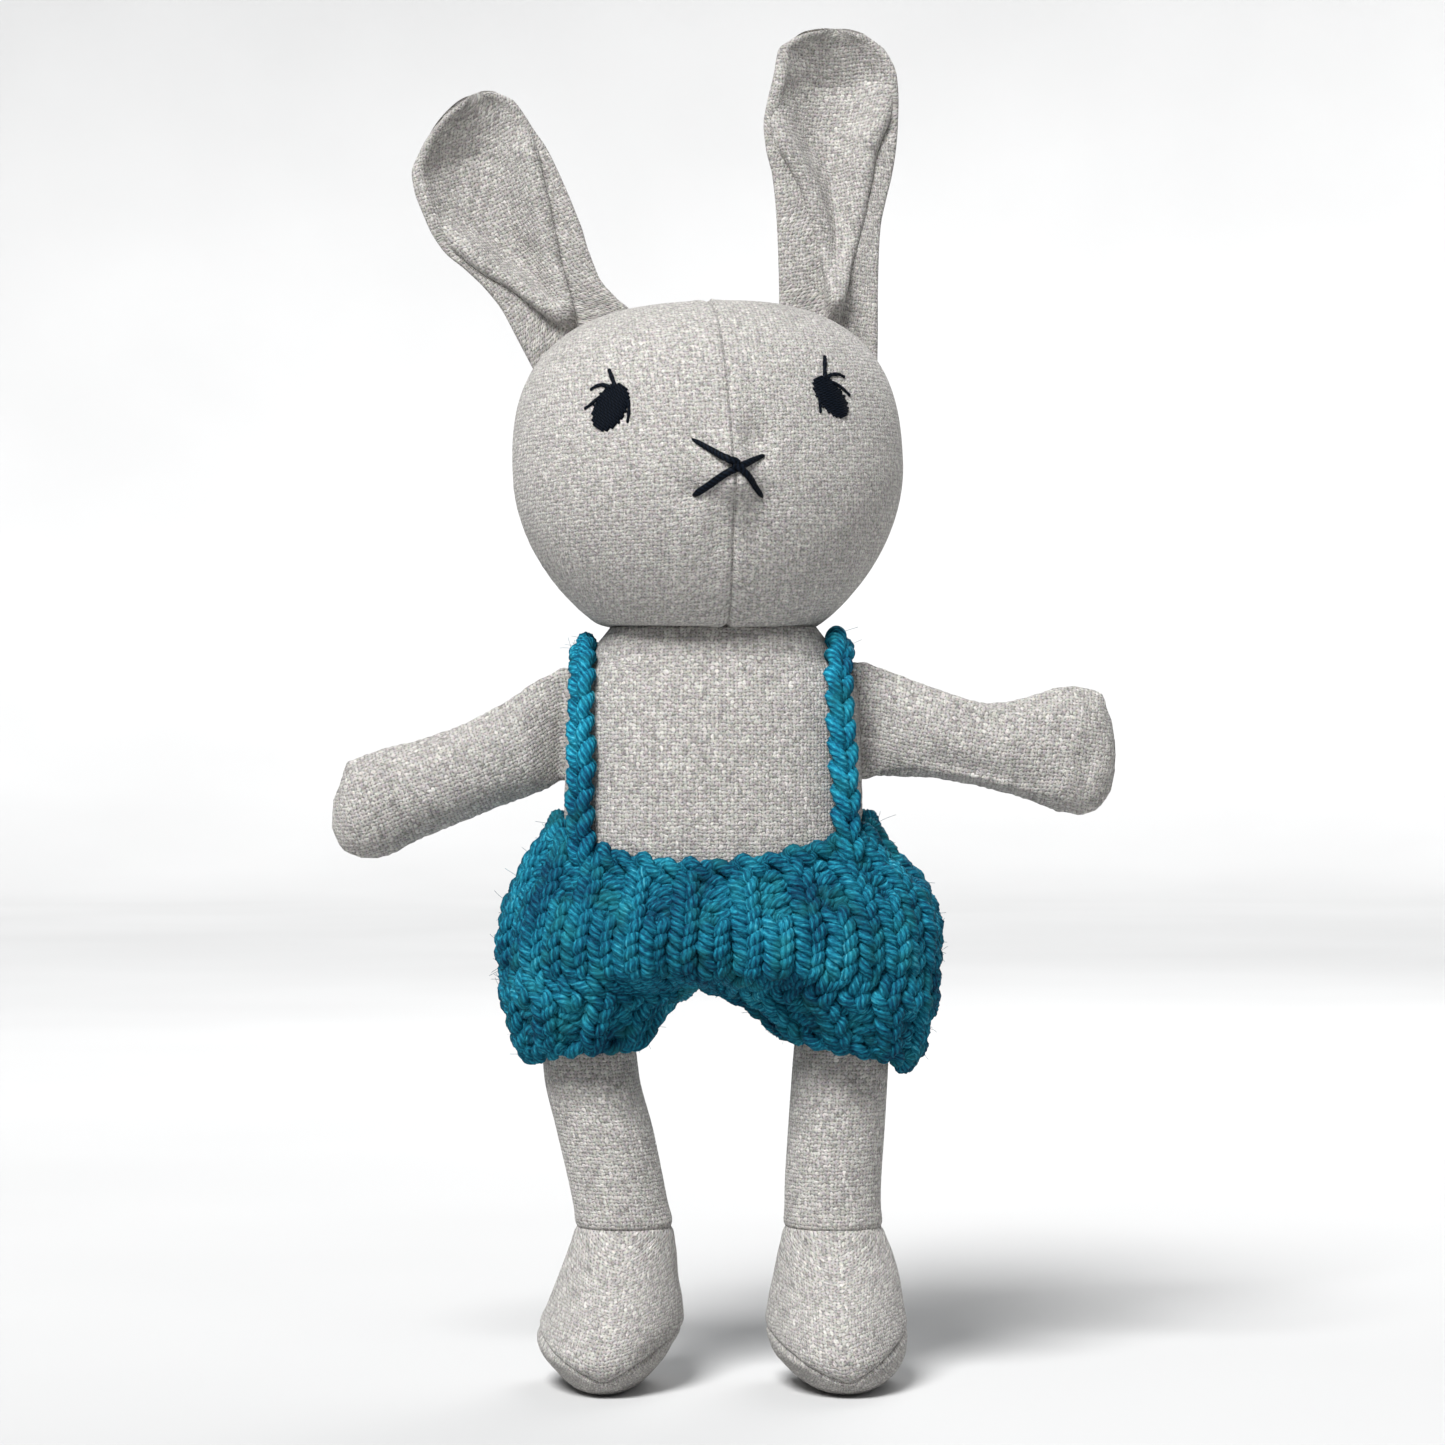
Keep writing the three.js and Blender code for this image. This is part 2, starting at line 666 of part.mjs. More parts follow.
function makeTorso() {
  const torso = new THREE.Group();
  const normal = outward(torsoPoint);
  const top = TORSO.rows[TORSO.rows.length - 1][0];
  const v = [TORSO.bottom - 10, top];
  const halves = { front: [-Math.PI, 0, -1], back: [0, Math.PI, 1] };
  for (const [side, [from, to, y]] of Object.entries(halves)) {
    const u = [from, to];
    const cloth = panel(torsoPoint, normal, { u, v, across: 8, along: 10 });
    addPiece(torso, `torso_${side}_panel`, offSeam(cloth, 0, y), WOOL);
  }
  const inside = filling(torsoPoint, normal, { v: [TORSO.bottom, top - 1], across: 16, along: 6 });
  addPiece(torso, 'torso_stuffing', inside, FILLING);
  addPiece(torso, 'neck_stitching', neckRing(), SEWING_THREAD);
  return torso;
}

// The ladder stitch that holds the head on, as one thin ring between head and torso
function neckRing() {
  const ring = { x: -2.2, halfWidth: 21.5, depth: 16.5, height: 201.5, thick: 0.35 };
  const surface = (angle, t) => {
    const around = t * TURN;
    const grow = ring.thick * Math.cos(around);
    const x = (ring.halfWidth + grow) * Math.cos(angle);
    const y = (ring.depth + grow) * Math.sin(angle);
    return new THREE.Vector3(ring.x + x, y, ring.height + ring.thick * Math.sin(around));
  };
  const [across, along] = [20, 4];
  const points = [];
  const triangles = [];
  for (let i = 0; i < across; i += 1) {
    for (let j = 0; j < along; j += 1) {
      points.push(surface((i / across) * TURN, j / along));
      const [a, b] = [i * along + j, i * along + ((j + 1) % along)];
      const [c, d] = [((i + 1) % across) * along + ((j + 1) % along), ((i + 1) % across) * along + j];
      triangles.push([a, b, c], [a, c, d]);
    }
  }
  return closedGeometry(points, triangles);
}

// ---------- Arms and legs ----------

function makeArm(side) {
  const arm = new THREE.Group();
  const surface = armSurface(ARMS[side]);
  const normal = outward(surface);
  const tip = ARMS[side].rows[ARMS[side].rows.length - 1][0];
  const halves = { front: [-Math.PI, 0, -1], back: [0, Math.PI, 1] };
  for (const [face, [from, to, y]] of Object.entries(halves)) {
    const cloth = panel(surface, normal, { u: [from, to], v: [0, tip], across: 6, along: 9 });
    addPiece(arm, `arm_${side}_${face}_panel`, offSeam(cloth, 0, y), WOOL);
  }
  const inside = filling(surface, normal, { v: [8, tip], across: 10, along: 7 });
  addPiece(arm, `arm_${side}_stuffing`, inside, FILLING);
  return arm;
}

function makeLeg(side) {
  const leg = new THREE.Group();
  const surface = legSurface(LEGS[side]);
  const normal = outward(surface);
  const seam = (angle) => {
    const sideways = Math.cos(angle) ** 2;
    return SOLE_SEAM.toe + (SOLE_SEAM.side - SOLE_SEAM.toe) * sideways;
  };
  const round = { u: [0, TURN], round: true };
  const half = GAP / 2;
  const tube = { ...round, v: [ANKLE + half, HIP_HEIGHT + 10], across: 12, along: 6 };
  addPiece(leg, `leg_${side}_tube`, panel(surface, normal, tube), WOOL);
  const upper = { ...round, v: [(u) => seam(u) + half, ANKLE - half], across: 16, along: 4 };
  addPiece(leg, `foot_${side}_upper`, panel(surface, normal, upper), WOOL);
  const sole = { ...round, v: [UNDERSIDE - 10, (u) => seam(u) - half], across: 16, along: 4 };
  addPiece(leg, `foot_${side}_sole`, panel(surface, normal, sole), WOOL);
  const inside = { v: [UNDERSIDE, HIP_HEIGHT + 9], across: 12, along: 9 };
  addPiece(leg, `leg_${side}_stuffing`, filling(surface, normal, inside), FILLING);
  return leg;
}

// ---------- Shorts and straps ----------

// The space inside a stack of rings, with both ends moved out by a margin
function ringSolid(rows, square, inset, margin) {
  const surface = rowSurface(rows, square, inset);
  const stretched = (angle, z) => {
    const middle = (rows[0][0] + rows[rows.length - 1][0]) / 2;
    const point = surface(angle, z);
    point.z += Math.sign(z - middle) * (z <= rows[0][0] || z >= rows[rows.length - 1][0] ? margin : 0);
    return point;
  };
  const v = [rows[0][0], rows[rows.length - 1][0]];
  const limits = { v, across: 16, along: rows.length - 1, inset: 0 };
  return toSolid(filling(stretched, () => new THREE.Vector3(), limits));
}

function makeShorts() {
  const far = 200;
  const legs = Object.values(SHORTS.legs);
  const outside = legs.reduce(
    (solid, rows) => solid.add(ringSolid(rows, 2.2, 0, 0)),
    ringSolid(SHORTS.hip, 2.3, 0, 0),
  );
  const inside = legs.reduce(
    (solid, rows) => solid.add(ringSolid(rows, 2.2, CUFF_KNIT, 3)),
    ringSolid(SHORTS.hip, 2.3, KNIT, -KNIT),
  );
  const knitted = outside.subtract(inside);
  const half = GAP / 2;
  const low = SHORTS.split - half;
  const shorts = new THREE.Group();
  const left = block([-far, -far, 0], [SHORTS.crotch - half, far, low]);
  const right = block([SHORTS.crotch + half, -far, 0], [far, far, low]);
  const upper = block([-far, -far, low + GAP], [far, far, far]);
  addPiece(shorts, 'shorts_waist', toGeometry(makeWaist().intersect(upper)), KNITTED);
  addPiece(shorts, 'shorts_left_half', toGeometry(knitted.intersect(left)), KNITTED);
  addPiece(shorts, 'shorts_right_half', toGeometry(knitted.intersect(right)), KNITTED);
  return shorts;
}

// The waist hugs the torso, and its top edge dips in front
function makeWaist() {
  const surface = rowSurface(SHORTS.hip, 2.3);
  const edge = (angle) => {
    const middle = Math.abs(Math.sin(angle)) ** 1.6;
    const centre = Math.sin(angle) < 0 ? SHORTS.waistFront : SHORTS.waistBack;
    return SHORTS.waistSide + (centre - SHORTS.waistSide) * middle;
  };
  const v = [SHORTS.split - KNIT, edge];
  const limits = { u: [0, TURN], v, across: 24, along: 4, round: true };
  return toSolid(panel(surface, outward(surface), { ...limits, inner: -KNIT }));
}

// Where a ray from inside the torso meets its cover
function torsoSkin(x, height, angle) {
  const [dy, dz] = [-Math.cos(angle), Math.sin(angle)];
  const top = TORSO.rows[TORSO.rows.length - 1][0];
  const within = (reach) => {
    const [y, z] = [dy * reach, height + dz * reach];
    const [halfWidth, front, back] = smooth(TORSO.rows, z);
    const depth = y < 0 ? front : back;
    const { square } = TORSO;
    return z < top && Math.abs(x / halfWidth) ** square + Math.abs(y / depth) ** square < 1;
  };
  let [near, far] = [0, 60];
  for (let k = 0; k < 30; k += 1) {
    const middle = (near + far) / 2;
    if (within(middle)) near = middle;
    else far = middle;
  }
  return new THREE.Vector3(TORSO.x + x, dy * near, height + dz * near);
}

function torsoNormal(point) {
  const fullness = (x, y, z) => {
    const [halfWidth, front, back] = smooth(TORSO.rows, z);
    const depth = y < 0 ? front : back;
    return Math.abs(x / halfWidth) ** TORSO.square + Math.abs(y / depth) ** TORSO.square;
  };
  const [x, y, z] = [point.x - TORSO.x, point.y, point.z];
  const step = 0.3;
  return new THREE.Vector3(
    fullness(x + step, y, z) - fullness(x - step, y, z),
    fullness(x, y + step, z) - fullness(x, y - step, z),
    fullness(x, y, z + step) - fullness(x, y, z - step),
  ).normalize();
}

// A strap runs up the chest, over the shoulder and down the back, where the two cross
function makeStrap(side) {
  const { waist, shoulder } = STRAP[side];
  const sideways = [[0, waist], [0.3, shoulder], [0.58, shoulder * 0.97], [0.8, 0], [1, -waist]];
  // the strap drapes over the torso's curve across its width too
  const surface = (share, t) => {
    const x = smooth(sideways, t)[0] + share * STRAP.halfWidth;
    const turn = THREE.MathUtils.clamp((t - 0.25) / 0.5, 0, 1) * Math.PI;
    let height = STRAP.shoulders;
    if (t < 0.25) height = THREE.MathUtils.lerp(STRAP.frontEnd, height, t / 0.25);
    if (t > 0.75) height = THREE.MathUtils.lerp(height, STRAP.backEnd, (t - 0.75) / 0.25);
    return torsoSkin(x, height, turn);
  };
  // the left strap lies on the right one where they cross
  const lift = (t) => {
    const close = THREE.MathUtils.smoothstep(19 - Math.abs(smooth(sideways, t)[0]), 0, 8);
    return side === 'left' && t > 0.6 ? close * (STRAP.thickness + 2 * GAP) : 0;
  };
  return panel(surface, (share, t) => torsoNormal(surface(share, t)), {
    u: [-1, 1],
    v: [0, 1],
    across: 2,
    along: 26,
    outer: (share, t) => STRAP_GAP + lift(t) + STRAP.thickness * (1 - 0.3 * share * share),
    inner: (share, t) => STRAP_GAP + lift(t),
  });
}

// ---------- The whole rabbit ----------

const rabbit = new THREE.Group();
rabbit.position.set(...ORIGIN_SHIFT);
const head = makeHead();
addFace(head);
addEars(head);
const torso = makeTorso();
for (const side of ['left', 'right']) addPiece(torso, `strap_${side}`, makeStrap(side), KNITTED);
rabbit.add(torso, head, makeShorts());
for (const side of ['left', 'right']) rabbit.add(makeArm(side), makeLeg(side));

export default rabbit;
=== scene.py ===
import json
import math

import bmesh
import bpy
import numpy as np
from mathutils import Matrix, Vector
from mathutils.bvhtree import BVHTree


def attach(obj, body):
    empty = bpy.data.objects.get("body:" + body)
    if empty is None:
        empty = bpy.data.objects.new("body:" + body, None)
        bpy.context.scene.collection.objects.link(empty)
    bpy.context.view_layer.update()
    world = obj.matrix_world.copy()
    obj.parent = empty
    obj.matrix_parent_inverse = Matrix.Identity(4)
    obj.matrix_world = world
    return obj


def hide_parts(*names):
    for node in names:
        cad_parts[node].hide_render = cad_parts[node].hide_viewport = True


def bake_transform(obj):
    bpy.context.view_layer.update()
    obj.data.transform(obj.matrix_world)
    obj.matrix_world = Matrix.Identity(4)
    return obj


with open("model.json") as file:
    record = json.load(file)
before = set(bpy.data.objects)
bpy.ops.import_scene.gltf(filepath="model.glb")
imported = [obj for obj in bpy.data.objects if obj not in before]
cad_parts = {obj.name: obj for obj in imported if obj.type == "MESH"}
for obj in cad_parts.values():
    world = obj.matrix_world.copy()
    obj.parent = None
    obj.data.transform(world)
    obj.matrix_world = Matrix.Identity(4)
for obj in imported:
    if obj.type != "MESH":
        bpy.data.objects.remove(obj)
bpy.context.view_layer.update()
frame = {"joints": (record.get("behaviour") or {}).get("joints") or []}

# A stuffed bunny rabbit: woven wool covers over soft filling, folded two-layer ears, an
# embroidered face, and knitted shorts with two straps. Shapes are worked out in millimetres in
# the design's own axes (+Z up, front towards -Y) and go to the frame through ORIGIN_SHIFT.
# Left and right are as seen from the front.

TURN = 2 * math.pi
ORIGIN_SHIFT = np.array([-0.2, 2.4, -3.3])
CLOTH = 1.2  # thickness of the woven wool
LINING_GAP = 0.8  # between the inside of a cover and its filling
SEAM_DEPTH = 0.8  # how far a seam pulls the cloth in
PUFF = 1.5  # how far the pressure of the filling may push the cloth between seams
THREAD_PITCH = 1.02  # from one thread of the woven wool to the next
LIMB_SQUARE = 2.1  # how square the sections of arms and legs are; 2 is an ellipse
CLOSING = 10  # an open end's ring closes on its centre over this much of the parameter

# ---------- Driving dimensions ----------

# They are the frame's, but for the head's underside, the torso's top and the shorts' cuffs.

HEAD = {
    "centre": (-3.7, 0, 243), "half_width": 51.5, "front": 42, "back": 38,
    "rise": 44.8, "drop": 50.7, "square_rise": 2.7, "square_drop": 1.85, "square_ring": 2.15,
    "base": -41.2,  # the head rests flat on the torso at this height
    "base_slope": 0.06, "base_edge": 0.8,  # how it tilts, and how sharp its edge is
    "turn": 7.5, "roll": -2.6, "seam_angle": 4, "neck_angle": -68, "front_seam": -89.2,
    "held": (-58, -64, -70),  # heights round which the neck's seam holds the cloth
}
NOSE = {"x": 0.4, "z": -2, "height": 3.2, "spread": 8}

TORSO_X = -2.4
TORSO_SQUARE = 2.8  # how square the torso's section is
TORSO_BOTTOM = 126
TORSO_ROWS = [  # height, half width, depth in front, depth behind
    (126, 29, 16, 16), (128, 35, 21, 21), (133, 38.3, 25, 24.5), (145, 39.2, 26, 25),
    (160, 39, 25.5, 24.5), (175, 38.6, 24, 23.5), (184, 38, 22.5, 22), (190, 36.2, 20.5, 20.5),
    (193, 33.6, 19.8, 19.5), (195.6, 31.8, 19.4, 19.2), (198, 30.2, 18.8, 18.8),
    (200.6, 28.2, 18.2, 18.2), (202.6, 26.6, 17.4, 17.4),
]

ARM_SEAM_RADIUS = 40.2
ARMS = {  # distance out from the shoulder seam, height, half width, half depth
    "left": (-1, [
        (0, 176.6, 15.3, 1.9), (4, 174.4, 14.2, 4.8), (9.4, 171, 12.8, 8.4),
        (23.2, 164.8, 11.8, 10.6), (35, 160.4, 12.2, 10.8), (43, 157.8, 12.9, 10.6),
        (50.7, 154.4, 13.4, 9.8), (56, 152.8, 11, 7.6), (59.6, 152.8, 5.4, 3.8),
        (60.8, 153.1, 0, 0),
    ]),
    "right": (1, [
        (0, 177.5, 15.5, 1.9), (4, 176.9, 13.8, 4.8), (9.3, 175.6, 12.4, 8.4),
        (20.7, 173.3, 10.8, 10.2), (30.1, 171.3, 10.5, 10.2), (36.5, 170.4, 11.3, 10.4),
        (45.1, 170.2, 13.8, 10.6), (53.3, 170, 16.2, 10.2), (59.2, 168.8, 16, 8.2),
        (63.8, 168.4, 10.4, 5.4), (66, 168.6, 0, 0),
    ]),
}

HIP_HEIGHT = 112
ANKLE = 44.2
UNDERSIDE = 3.3
SOLE_SEAM = {"toe": 7.6, "side": 18.2}
LEG_DEPTHS = [  # height, depth in front, depth behind
    (3.3, 26, 9), (4.6, 31, 12), (7.6, 35.4, 13.6), (13, 38, 15), (18.6, 36, 15.4),
    (24.6, 30.6, 15), (31.2, 23, 14), (37.8, 16.6, 13), (44.2, 13, 12.4), (52, 12.6, 12.4),
    (70, 12.6, 12.6), (84, 12.4, 12.4), (100, 12.3, 12.3), (112, 12.3, 12.3),
]

LEG_WIDTHS = {  # centre x and half width at the same heights
    "left": [
        (-30.6, 7.5), (-30.8, 10), (-30.8, 13.2), (-31, 17.4), (-29.4, 18.8), (-28.2, 17.6),
        (-27.5, 15.7), (-26.5, 14.3), (-26, 12.8), (-27.3, 12.5), (-31.2, 12.7), (-34.6, 12.5),
        (-35.8, 12.3), (-35.8, 12.3),
    ],
    "right": [
        (32, 8), (32, 10.8), (31.8, 14.6), (30.6, 17.9), (30, 18.5), (29.8, 17.8),
        (30, 16.6), (29.7, 15), (29.2, 13), (29.1, 12.7), (30.1, 12.7), (31, 12.6),
        (31.8, 12.3), (31.8, 12.3),
    ],
}

LEGS = {  # height, centre x, half width, depth in front, depth behind
    side: [(z, *across, *depths) for (z, *depths), across in zip(LEG_DEPTHS, widths)]
    for side, widths in LEG_WIDTHS.items()
}

EARS = {
    # rows: distance from the root, left edge, right edge
    # creases: distance from the root, left crease, right crease; they meet at the root
    "left": {
        "root": (-31.7, 9, 39.6), "lean": -19.4,
        "rows": [
            (-12, -14.5, 14.8), (0, -15.8, 14.6), (4, -16.2, 12.6), (11.7, -17, 10.2),
            (18.8, -19, 10.3), (25.6, -22, 10.9), (32.7, -25.7, 10.9), (39.9, -27, 10.7),
            (47.2, -27.1, 10.2), (54, -26, 8.7), (59.5, -21.2, 7.6), (62.6, -17.2, 6.6),
            (65, -12.8, 4.4), (66.8, -7.8, 2.2), (67.8, -4, -1),
        ],
        "creases": [
            (-12, -1.8, -0.6), (0, -1.8, -0.6), (5, -4.8, -0.5), (11, -8, 0), (17, -11.8, 0.7),
            (23, -16.7, 2), (29, -20.4, 3.1), (35, -23.6, 4.2), (44, -25.6, 5.6), (54, -24.8, 7),
            (59.5, -20.1, 6.6), (62.6, -16, 5.6), (65, -11.6, 3.6), (67.8, -4, -1),
        ],
        "rolls": (44, 62),  # the folded rolls end at these distances, left and right
    },
    "right": {
        "root": (34.6, 9, 37.4), "lean": 2.6,
        "rows": [
            (-12, -13, 13.8), (1.5, -12.9, 14), (8, -12.7, 14), (21.3, -13, 14.3),
            (28, -13.3, 14.8), (34.8, -13.8, 16.2), (41.4, -14.6, 17.8), (48.1, -16.2, 18.9),
            (54.8, -16.8, 19.5), (61.5, -15.7, 19.7), (68.2, -14.1, 19.2), (74.8, -12.8, 16.2),
            (77.5, -9.2, 13), (79, -6.2, 10.3), (80, -1.5, 6.5), (80.4, 1, 4),
        ],
        "creases": [
            (-12, 0.4, 2), (0, 0.4, 2), (5, 0.6, 2.8), (12, 0.6, 4), (17, -0.3, 5.2),
            (27, -2.4, 8.2), (37, -5.7, 10.4), (44, -9.2, 11.6), (50.5, -12.7, 13.2),
            (56.5, -14.2, 15.9), (62.5, -14, 17.2), (68.2, -13.2, 17.8), (74.8, -11.8, 15),
            (78, -7, 10.8), (80.4, 1, 4),
        ],
        "rolls": (64, 70),
    },
}
EAR_CUP = 8  # how far the hollow of an ear lies behind its rim
EAR_ROLL = 4.4  # how far the folded rolls stand out
EAR_FLANGE = 1.6  # how far the cloth outside a roll lies back
EAR_LAYER = 1.25  # thickness of one layer of an ear

SHORTS = {
    "crotch": -6.5, "front": 139.6, "side": 150.5, "back": 149, "band": 14,
    "hip_square": 2.3, "leg_square": 2.2,
    "hip": [  # height, centre x, half width, depth in front, depth behind
        (103, -0.5, 44, 22, 24), (106, -0.6, 53, 31, 33), (111, -0.8, 58.4, 36.4, 37.4),
        (117, -0.9, 59.2, 38.4, 39), (124, -0.6, 58.4, 37.8, 38.4), (130, -0.6, 57, 35.6, 36.4),
        (137, -0.8, 54.2, 32.6, 33.2), (143.4, -2.4, 49.6, 30.4, 30.4), (151, -2.4, 44, 29.8, 29),
    ],
    "legs": {
        "left": [
            (88.2, -37.4, 16.4, 20, 19), (92, -37.4, 18.4, 23.5, 22.5), (98, -36.4, 21.2, 27.5, 27),
            (105, -35, 24.4, 30, 30.5), (113, -33.8, 25.6, 32, 33),
        ],
        "right": [
            (86, 34, 17.4, 20, 19), (90, 34.6, 19.2, 23.5, 22.5), (97, 33, 22.6, 27.5, 27),
            (104, 30.4, 27.6, 30.5, 31), (113, 29, 28.8, 32.5, 33.5),
        ],
    },
    # height of the cuff at the inside and the outside of each leg
    "cuffs": {"left": (91, 88.2), "right": (93.5, 86)},
    # between these heights the hips' ring turns into a ring round each leg, the two legs stop
    # meeting, and the middle is drawn in less and less
    "fork": (103, 112.5), "meet": (101, 109), "drawn_in": (106, 136),
}

STRAP = {
    "front_end": 145, "back_end": 151, "shoulders": 170, "top": 200.6, "pitch": 6.2,
    "left": (-32.4, -32.4), "right": (33, 31.4),
}

YARN = 1.75  # radius of the blue yarn
PLIES = 6  # strands twisted into the yarn
PLY_TURN = 9  # the plies go once round in this length
STITCHES = 20  # stitches round each half of the shorts
BODY_COURSES = 10  # rows of stitches below the waistband, the cuff's among them
CUFF_COURSES = 3
BAND_COURSES = 4
STEPS = 40  # steps along the yarn of one stitch
LOOP = 1.72  # height of a loop, in courses
LEAN = 0.225  # how far a loop's sides open towards its head
KNIT_DEPTH = 1.3  # how far a loop's sides stand out from its head and foot

HAIRS = {"half": 420, "waist": 320, "strap": 120}  # loose fibres on each piece

CAMERA = {"distance": 1166, "height": 177, "lens": 110}


# ---------- Curves and surfaces ----------

def smooth(rows, t):
    """The rows' columns at t, along monotone cubics that never overshoot."""
    table = np.array(rows, float)
    x, y = table[:, 0], table[:, 1:]
    t = np.clip(np.asarray(t, float), x[0], x[-1])
    i = np.clip(np.searchsorted(x, t, side="right") - 1, 0, len(x) - 2)
    rise = np.diff(y, axis=0) / np.diff(x)[:, None]
    slope = np.concatenate([rise[:1], np.zeros_like(rise[1:]), rise[-1:]])
    product, both = rise[:-1] * rise[1:], rise[:-1] + rise[1:]
    slope[1:-1] = np.where(product > 0, 2 * product / np.where(product > 0, both, 1), 0)
    span = (x[i + 1] - x[i])[..., None]
    f = ((t - x[i]) / (x[i + 1] - x[i]))[..., None]
    value = (
        y[i] * (2 * f**3 - 3 * f**2 + 1) + y[i + 1] * (3 * f**2 - 2 * f**3)
        + slope[i] * span * (f**3 - 2 * f**2 + f) + slope[i + 1] * span * (f**3 - f**2)
    )
    return np.moveaxis(value, -1, 0)


def ease(x, low, high):
    """0 up to low, 1 from high, and smooth between them."""
    f = np.clip((np.asarray(x, float) - low) / (high - low), 0, 1)
    return f * f * (3 - 2 * f)


def bell(x):
    return np.exp(-np.square(x))


def signed_power(value, power):
    return np.sign(value) * np.abs(value) ** power


def stack(x, y, z):
    return np.stack(np.broadcast_arrays(x, y, z), -1).astype(float)


def ring_point(angle, half_width, front, back, square):
    """A point of a rounded-square ring: angle 0 is +X, and -90 degrees is the front."""
    depth = np.where(np.sin(angle) < 0, front, back)
    x = half_width * signed_power(np.cos(angle), 2 / square)
    return x, depth * signed_power(np.sin(angle), 2 / square)


def turned(points, matrix, origin):
    return points @ np.array(matrix).T + np.array(origin)


def about_y(degrees):
    c, s = math.cos(math.radians(degrees)), math.sin(math.radians(degrees))
    return np.array([[c, 0, s], [0, 1, 0], [-s, 0, c]])


def about_z(degrees):
    c, s = math.cos(math.radians(degrees)), math.sin(math.radians(degrees))
    return np.array([[c, -s, 0], [s, c, 0], [0, 0, 1]])


HEAD_AXES = about_y(HEAD["roll"]) @ about_z(HEAD["turn"])


def place_head(points):
    """From the head's own axes to the design's."""
    return turned(points, HEAD_AXES, HEAD["centre"])


def place_ear(side):
    """From an ear's own axes to the design's."""
    root, axes = EARS[side]["root"], about_y(EARS[side]["lean"])
    return lambda points: place_head(turned(points, axes, root))


def head_point(angle, lift):
    """A point of the head's surface; lift is -90 degrees at the neck and 90 on top."""
    up = lift > 0
    square = np.where(up, HEAD["square_rise"], HEAD["square_drop"])
    reach = np.maximum(0, np.cos(lift)) ** (2 / square)
    z = np.where(up, HEAD["rise"], HEAD["drop"]) * signed_power(np.sin(lift), 2 / square)
    x, y = ring_point(angle, HEAD["half_width"], HEAD["front"], HEAD["back"], HEAD["square_ring"])
    x, y = x * reach, y * reach
    base, edge = HEAD["base"] - HEAD["base_slope"] * x, HEAD["base_edge"]
    z = base + edge * np.logaddexp(0, (z - base) / edge)
    away = np.hypot(x - NOSE["x"], z - NOSE["z"]) / NOSE["spread"]
    return stack(x, y - NOSE["height"] * bell(away) * (np.sin(angle) < 0), z)


def inside_head(points):
    """Below 1 inside the head, and above 1 outside it; points are in the head's axes."""
    x, y, z = np.moveaxis(points, -1, 0)
    ring = HEAD["square_ring"]
    depth = np.where(y < 0, HEAD["front"], HEAD["back"])
    level = (np.abs(x / HEAD["half_width"]) ** ring + np.abs(y / depth) ** ring) ** (1 / ring)
    square = np.where(z > 0, HEAD["square_rise"], HEAD["square_drop"])
    return level**square + np.abs(z / np.where(z > 0, HEAD["rise"], HEAD["drop"])) ** square


def torso_point(angle, t):
    """Below the first row the ring shrinks to its centre, which closes the flat bottom."""
    half_width, front, back = smooth(TORSO_ROWS, t)
    share = np.clip(1 + (t - TORSO_BOTTOM) / CLOSING, 0, 1)
    x, y = ring_point(angle, half_width, front, back, TORSO_SQUARE)
    return stack(TORSO_X + x * share, y * share, np.maximum(t, TORSO_BOTTOM))


def arm_point(arm):
    side, rows = arm

    def point(angle, s):
        height, half_width, half_depth = smooth(rows, s)
        climb = smooth(rows, s + 4)[0] - smooth(rows, s - 4)[0]
        tilt = np.arctan2(climb, 8) * np.minimum(1, s / 14)
        up, y = ring_point(angle, half_width, half_depth, half_depth, LIMB_SQUARE)
        out = ARM_SEAM_RADIUS + s - up * np.sin(tilt)
        return stack(TORSO_X + side * out, y, height + up * np.cos(tilt))

    return point


def leg_point(rows):
    """The flat underside closes below the first row, and a ball closes the hip end."""
    def point(angle, t):
        z = np.clip(t, UNDERSIDE, HIP_HEIGHT)
        centre, half_width, front, back = smooth(rows, z)
        lift = np.clip((t - HIP_HEIGHT) / CLOSING, 0, 1) * math.pi / 2
        share = np.clip(1 + (t - UNDERSIDE) / CLOSING, 0, 1) * np.cos(lift)
        x, y = ring_point(angle, half_width, front, back, LIMB_SQUARE)
        return stack(centre + x * share, y * share, z + half_width * np.sin(lift))

    return point


# ---------- Grids of points ----------

def grid(u, v, columns, rows):
    """Two arrays of surface parameters, (rows + 1) by (columns + 1); v's limits may depend on u."""
    across = np.linspace(u[0], u[1], columns + 1)
    low, high = (limit(across) if callable(limit) else np.full_like(across, limit) for limit in v)
    share = np.linspace(0, 1, rows + 1)[:, None]
    return np.broadcast_to(across, (rows + 1, columns + 1)), low + (high - low) * share


def unit(vectors):
    return vectors / np.maximum(np.linalg.norm(vectors, axis=-1, keepdims=True), 1e-9)


def grid_normals(points, closed):
    """Outward unit normals of a grid of points; a row that is one point takes its neighbour's."""
    ring = np.concatenate([points[:, -2:-1], points, points[:, 1:2]], 1) if closed else points
    across = np.gradient(ring, axis=1)
    across = across[:, 1:-1] if closed else across
    normal = unit(np.cross(across, np.gradient(points, axis=0)))
    length = arc_lengths(points, 1)[:, -1]
    for row, beside in ((0, 1), (-1, -2)):
        if length[row] < 0.3 * length[beside]:
            normal[row] = unit(normal[beside].mean(0))
    inward = (normal * (points - points.mean((0, 1)))).sum() < 0
    return -normal if inward else normal


def arc_lengths(points, axis):
    """How far each point is along its row (axis 1) or column (axis 0)."""
    step = np.linalg.norm(np.diff(points, axis=axis), axis=-1)
    start = np.zeros_like(np.take(step, [0], axis))
    return np.concatenate([start, np.cumsum(step, axis)], axis)


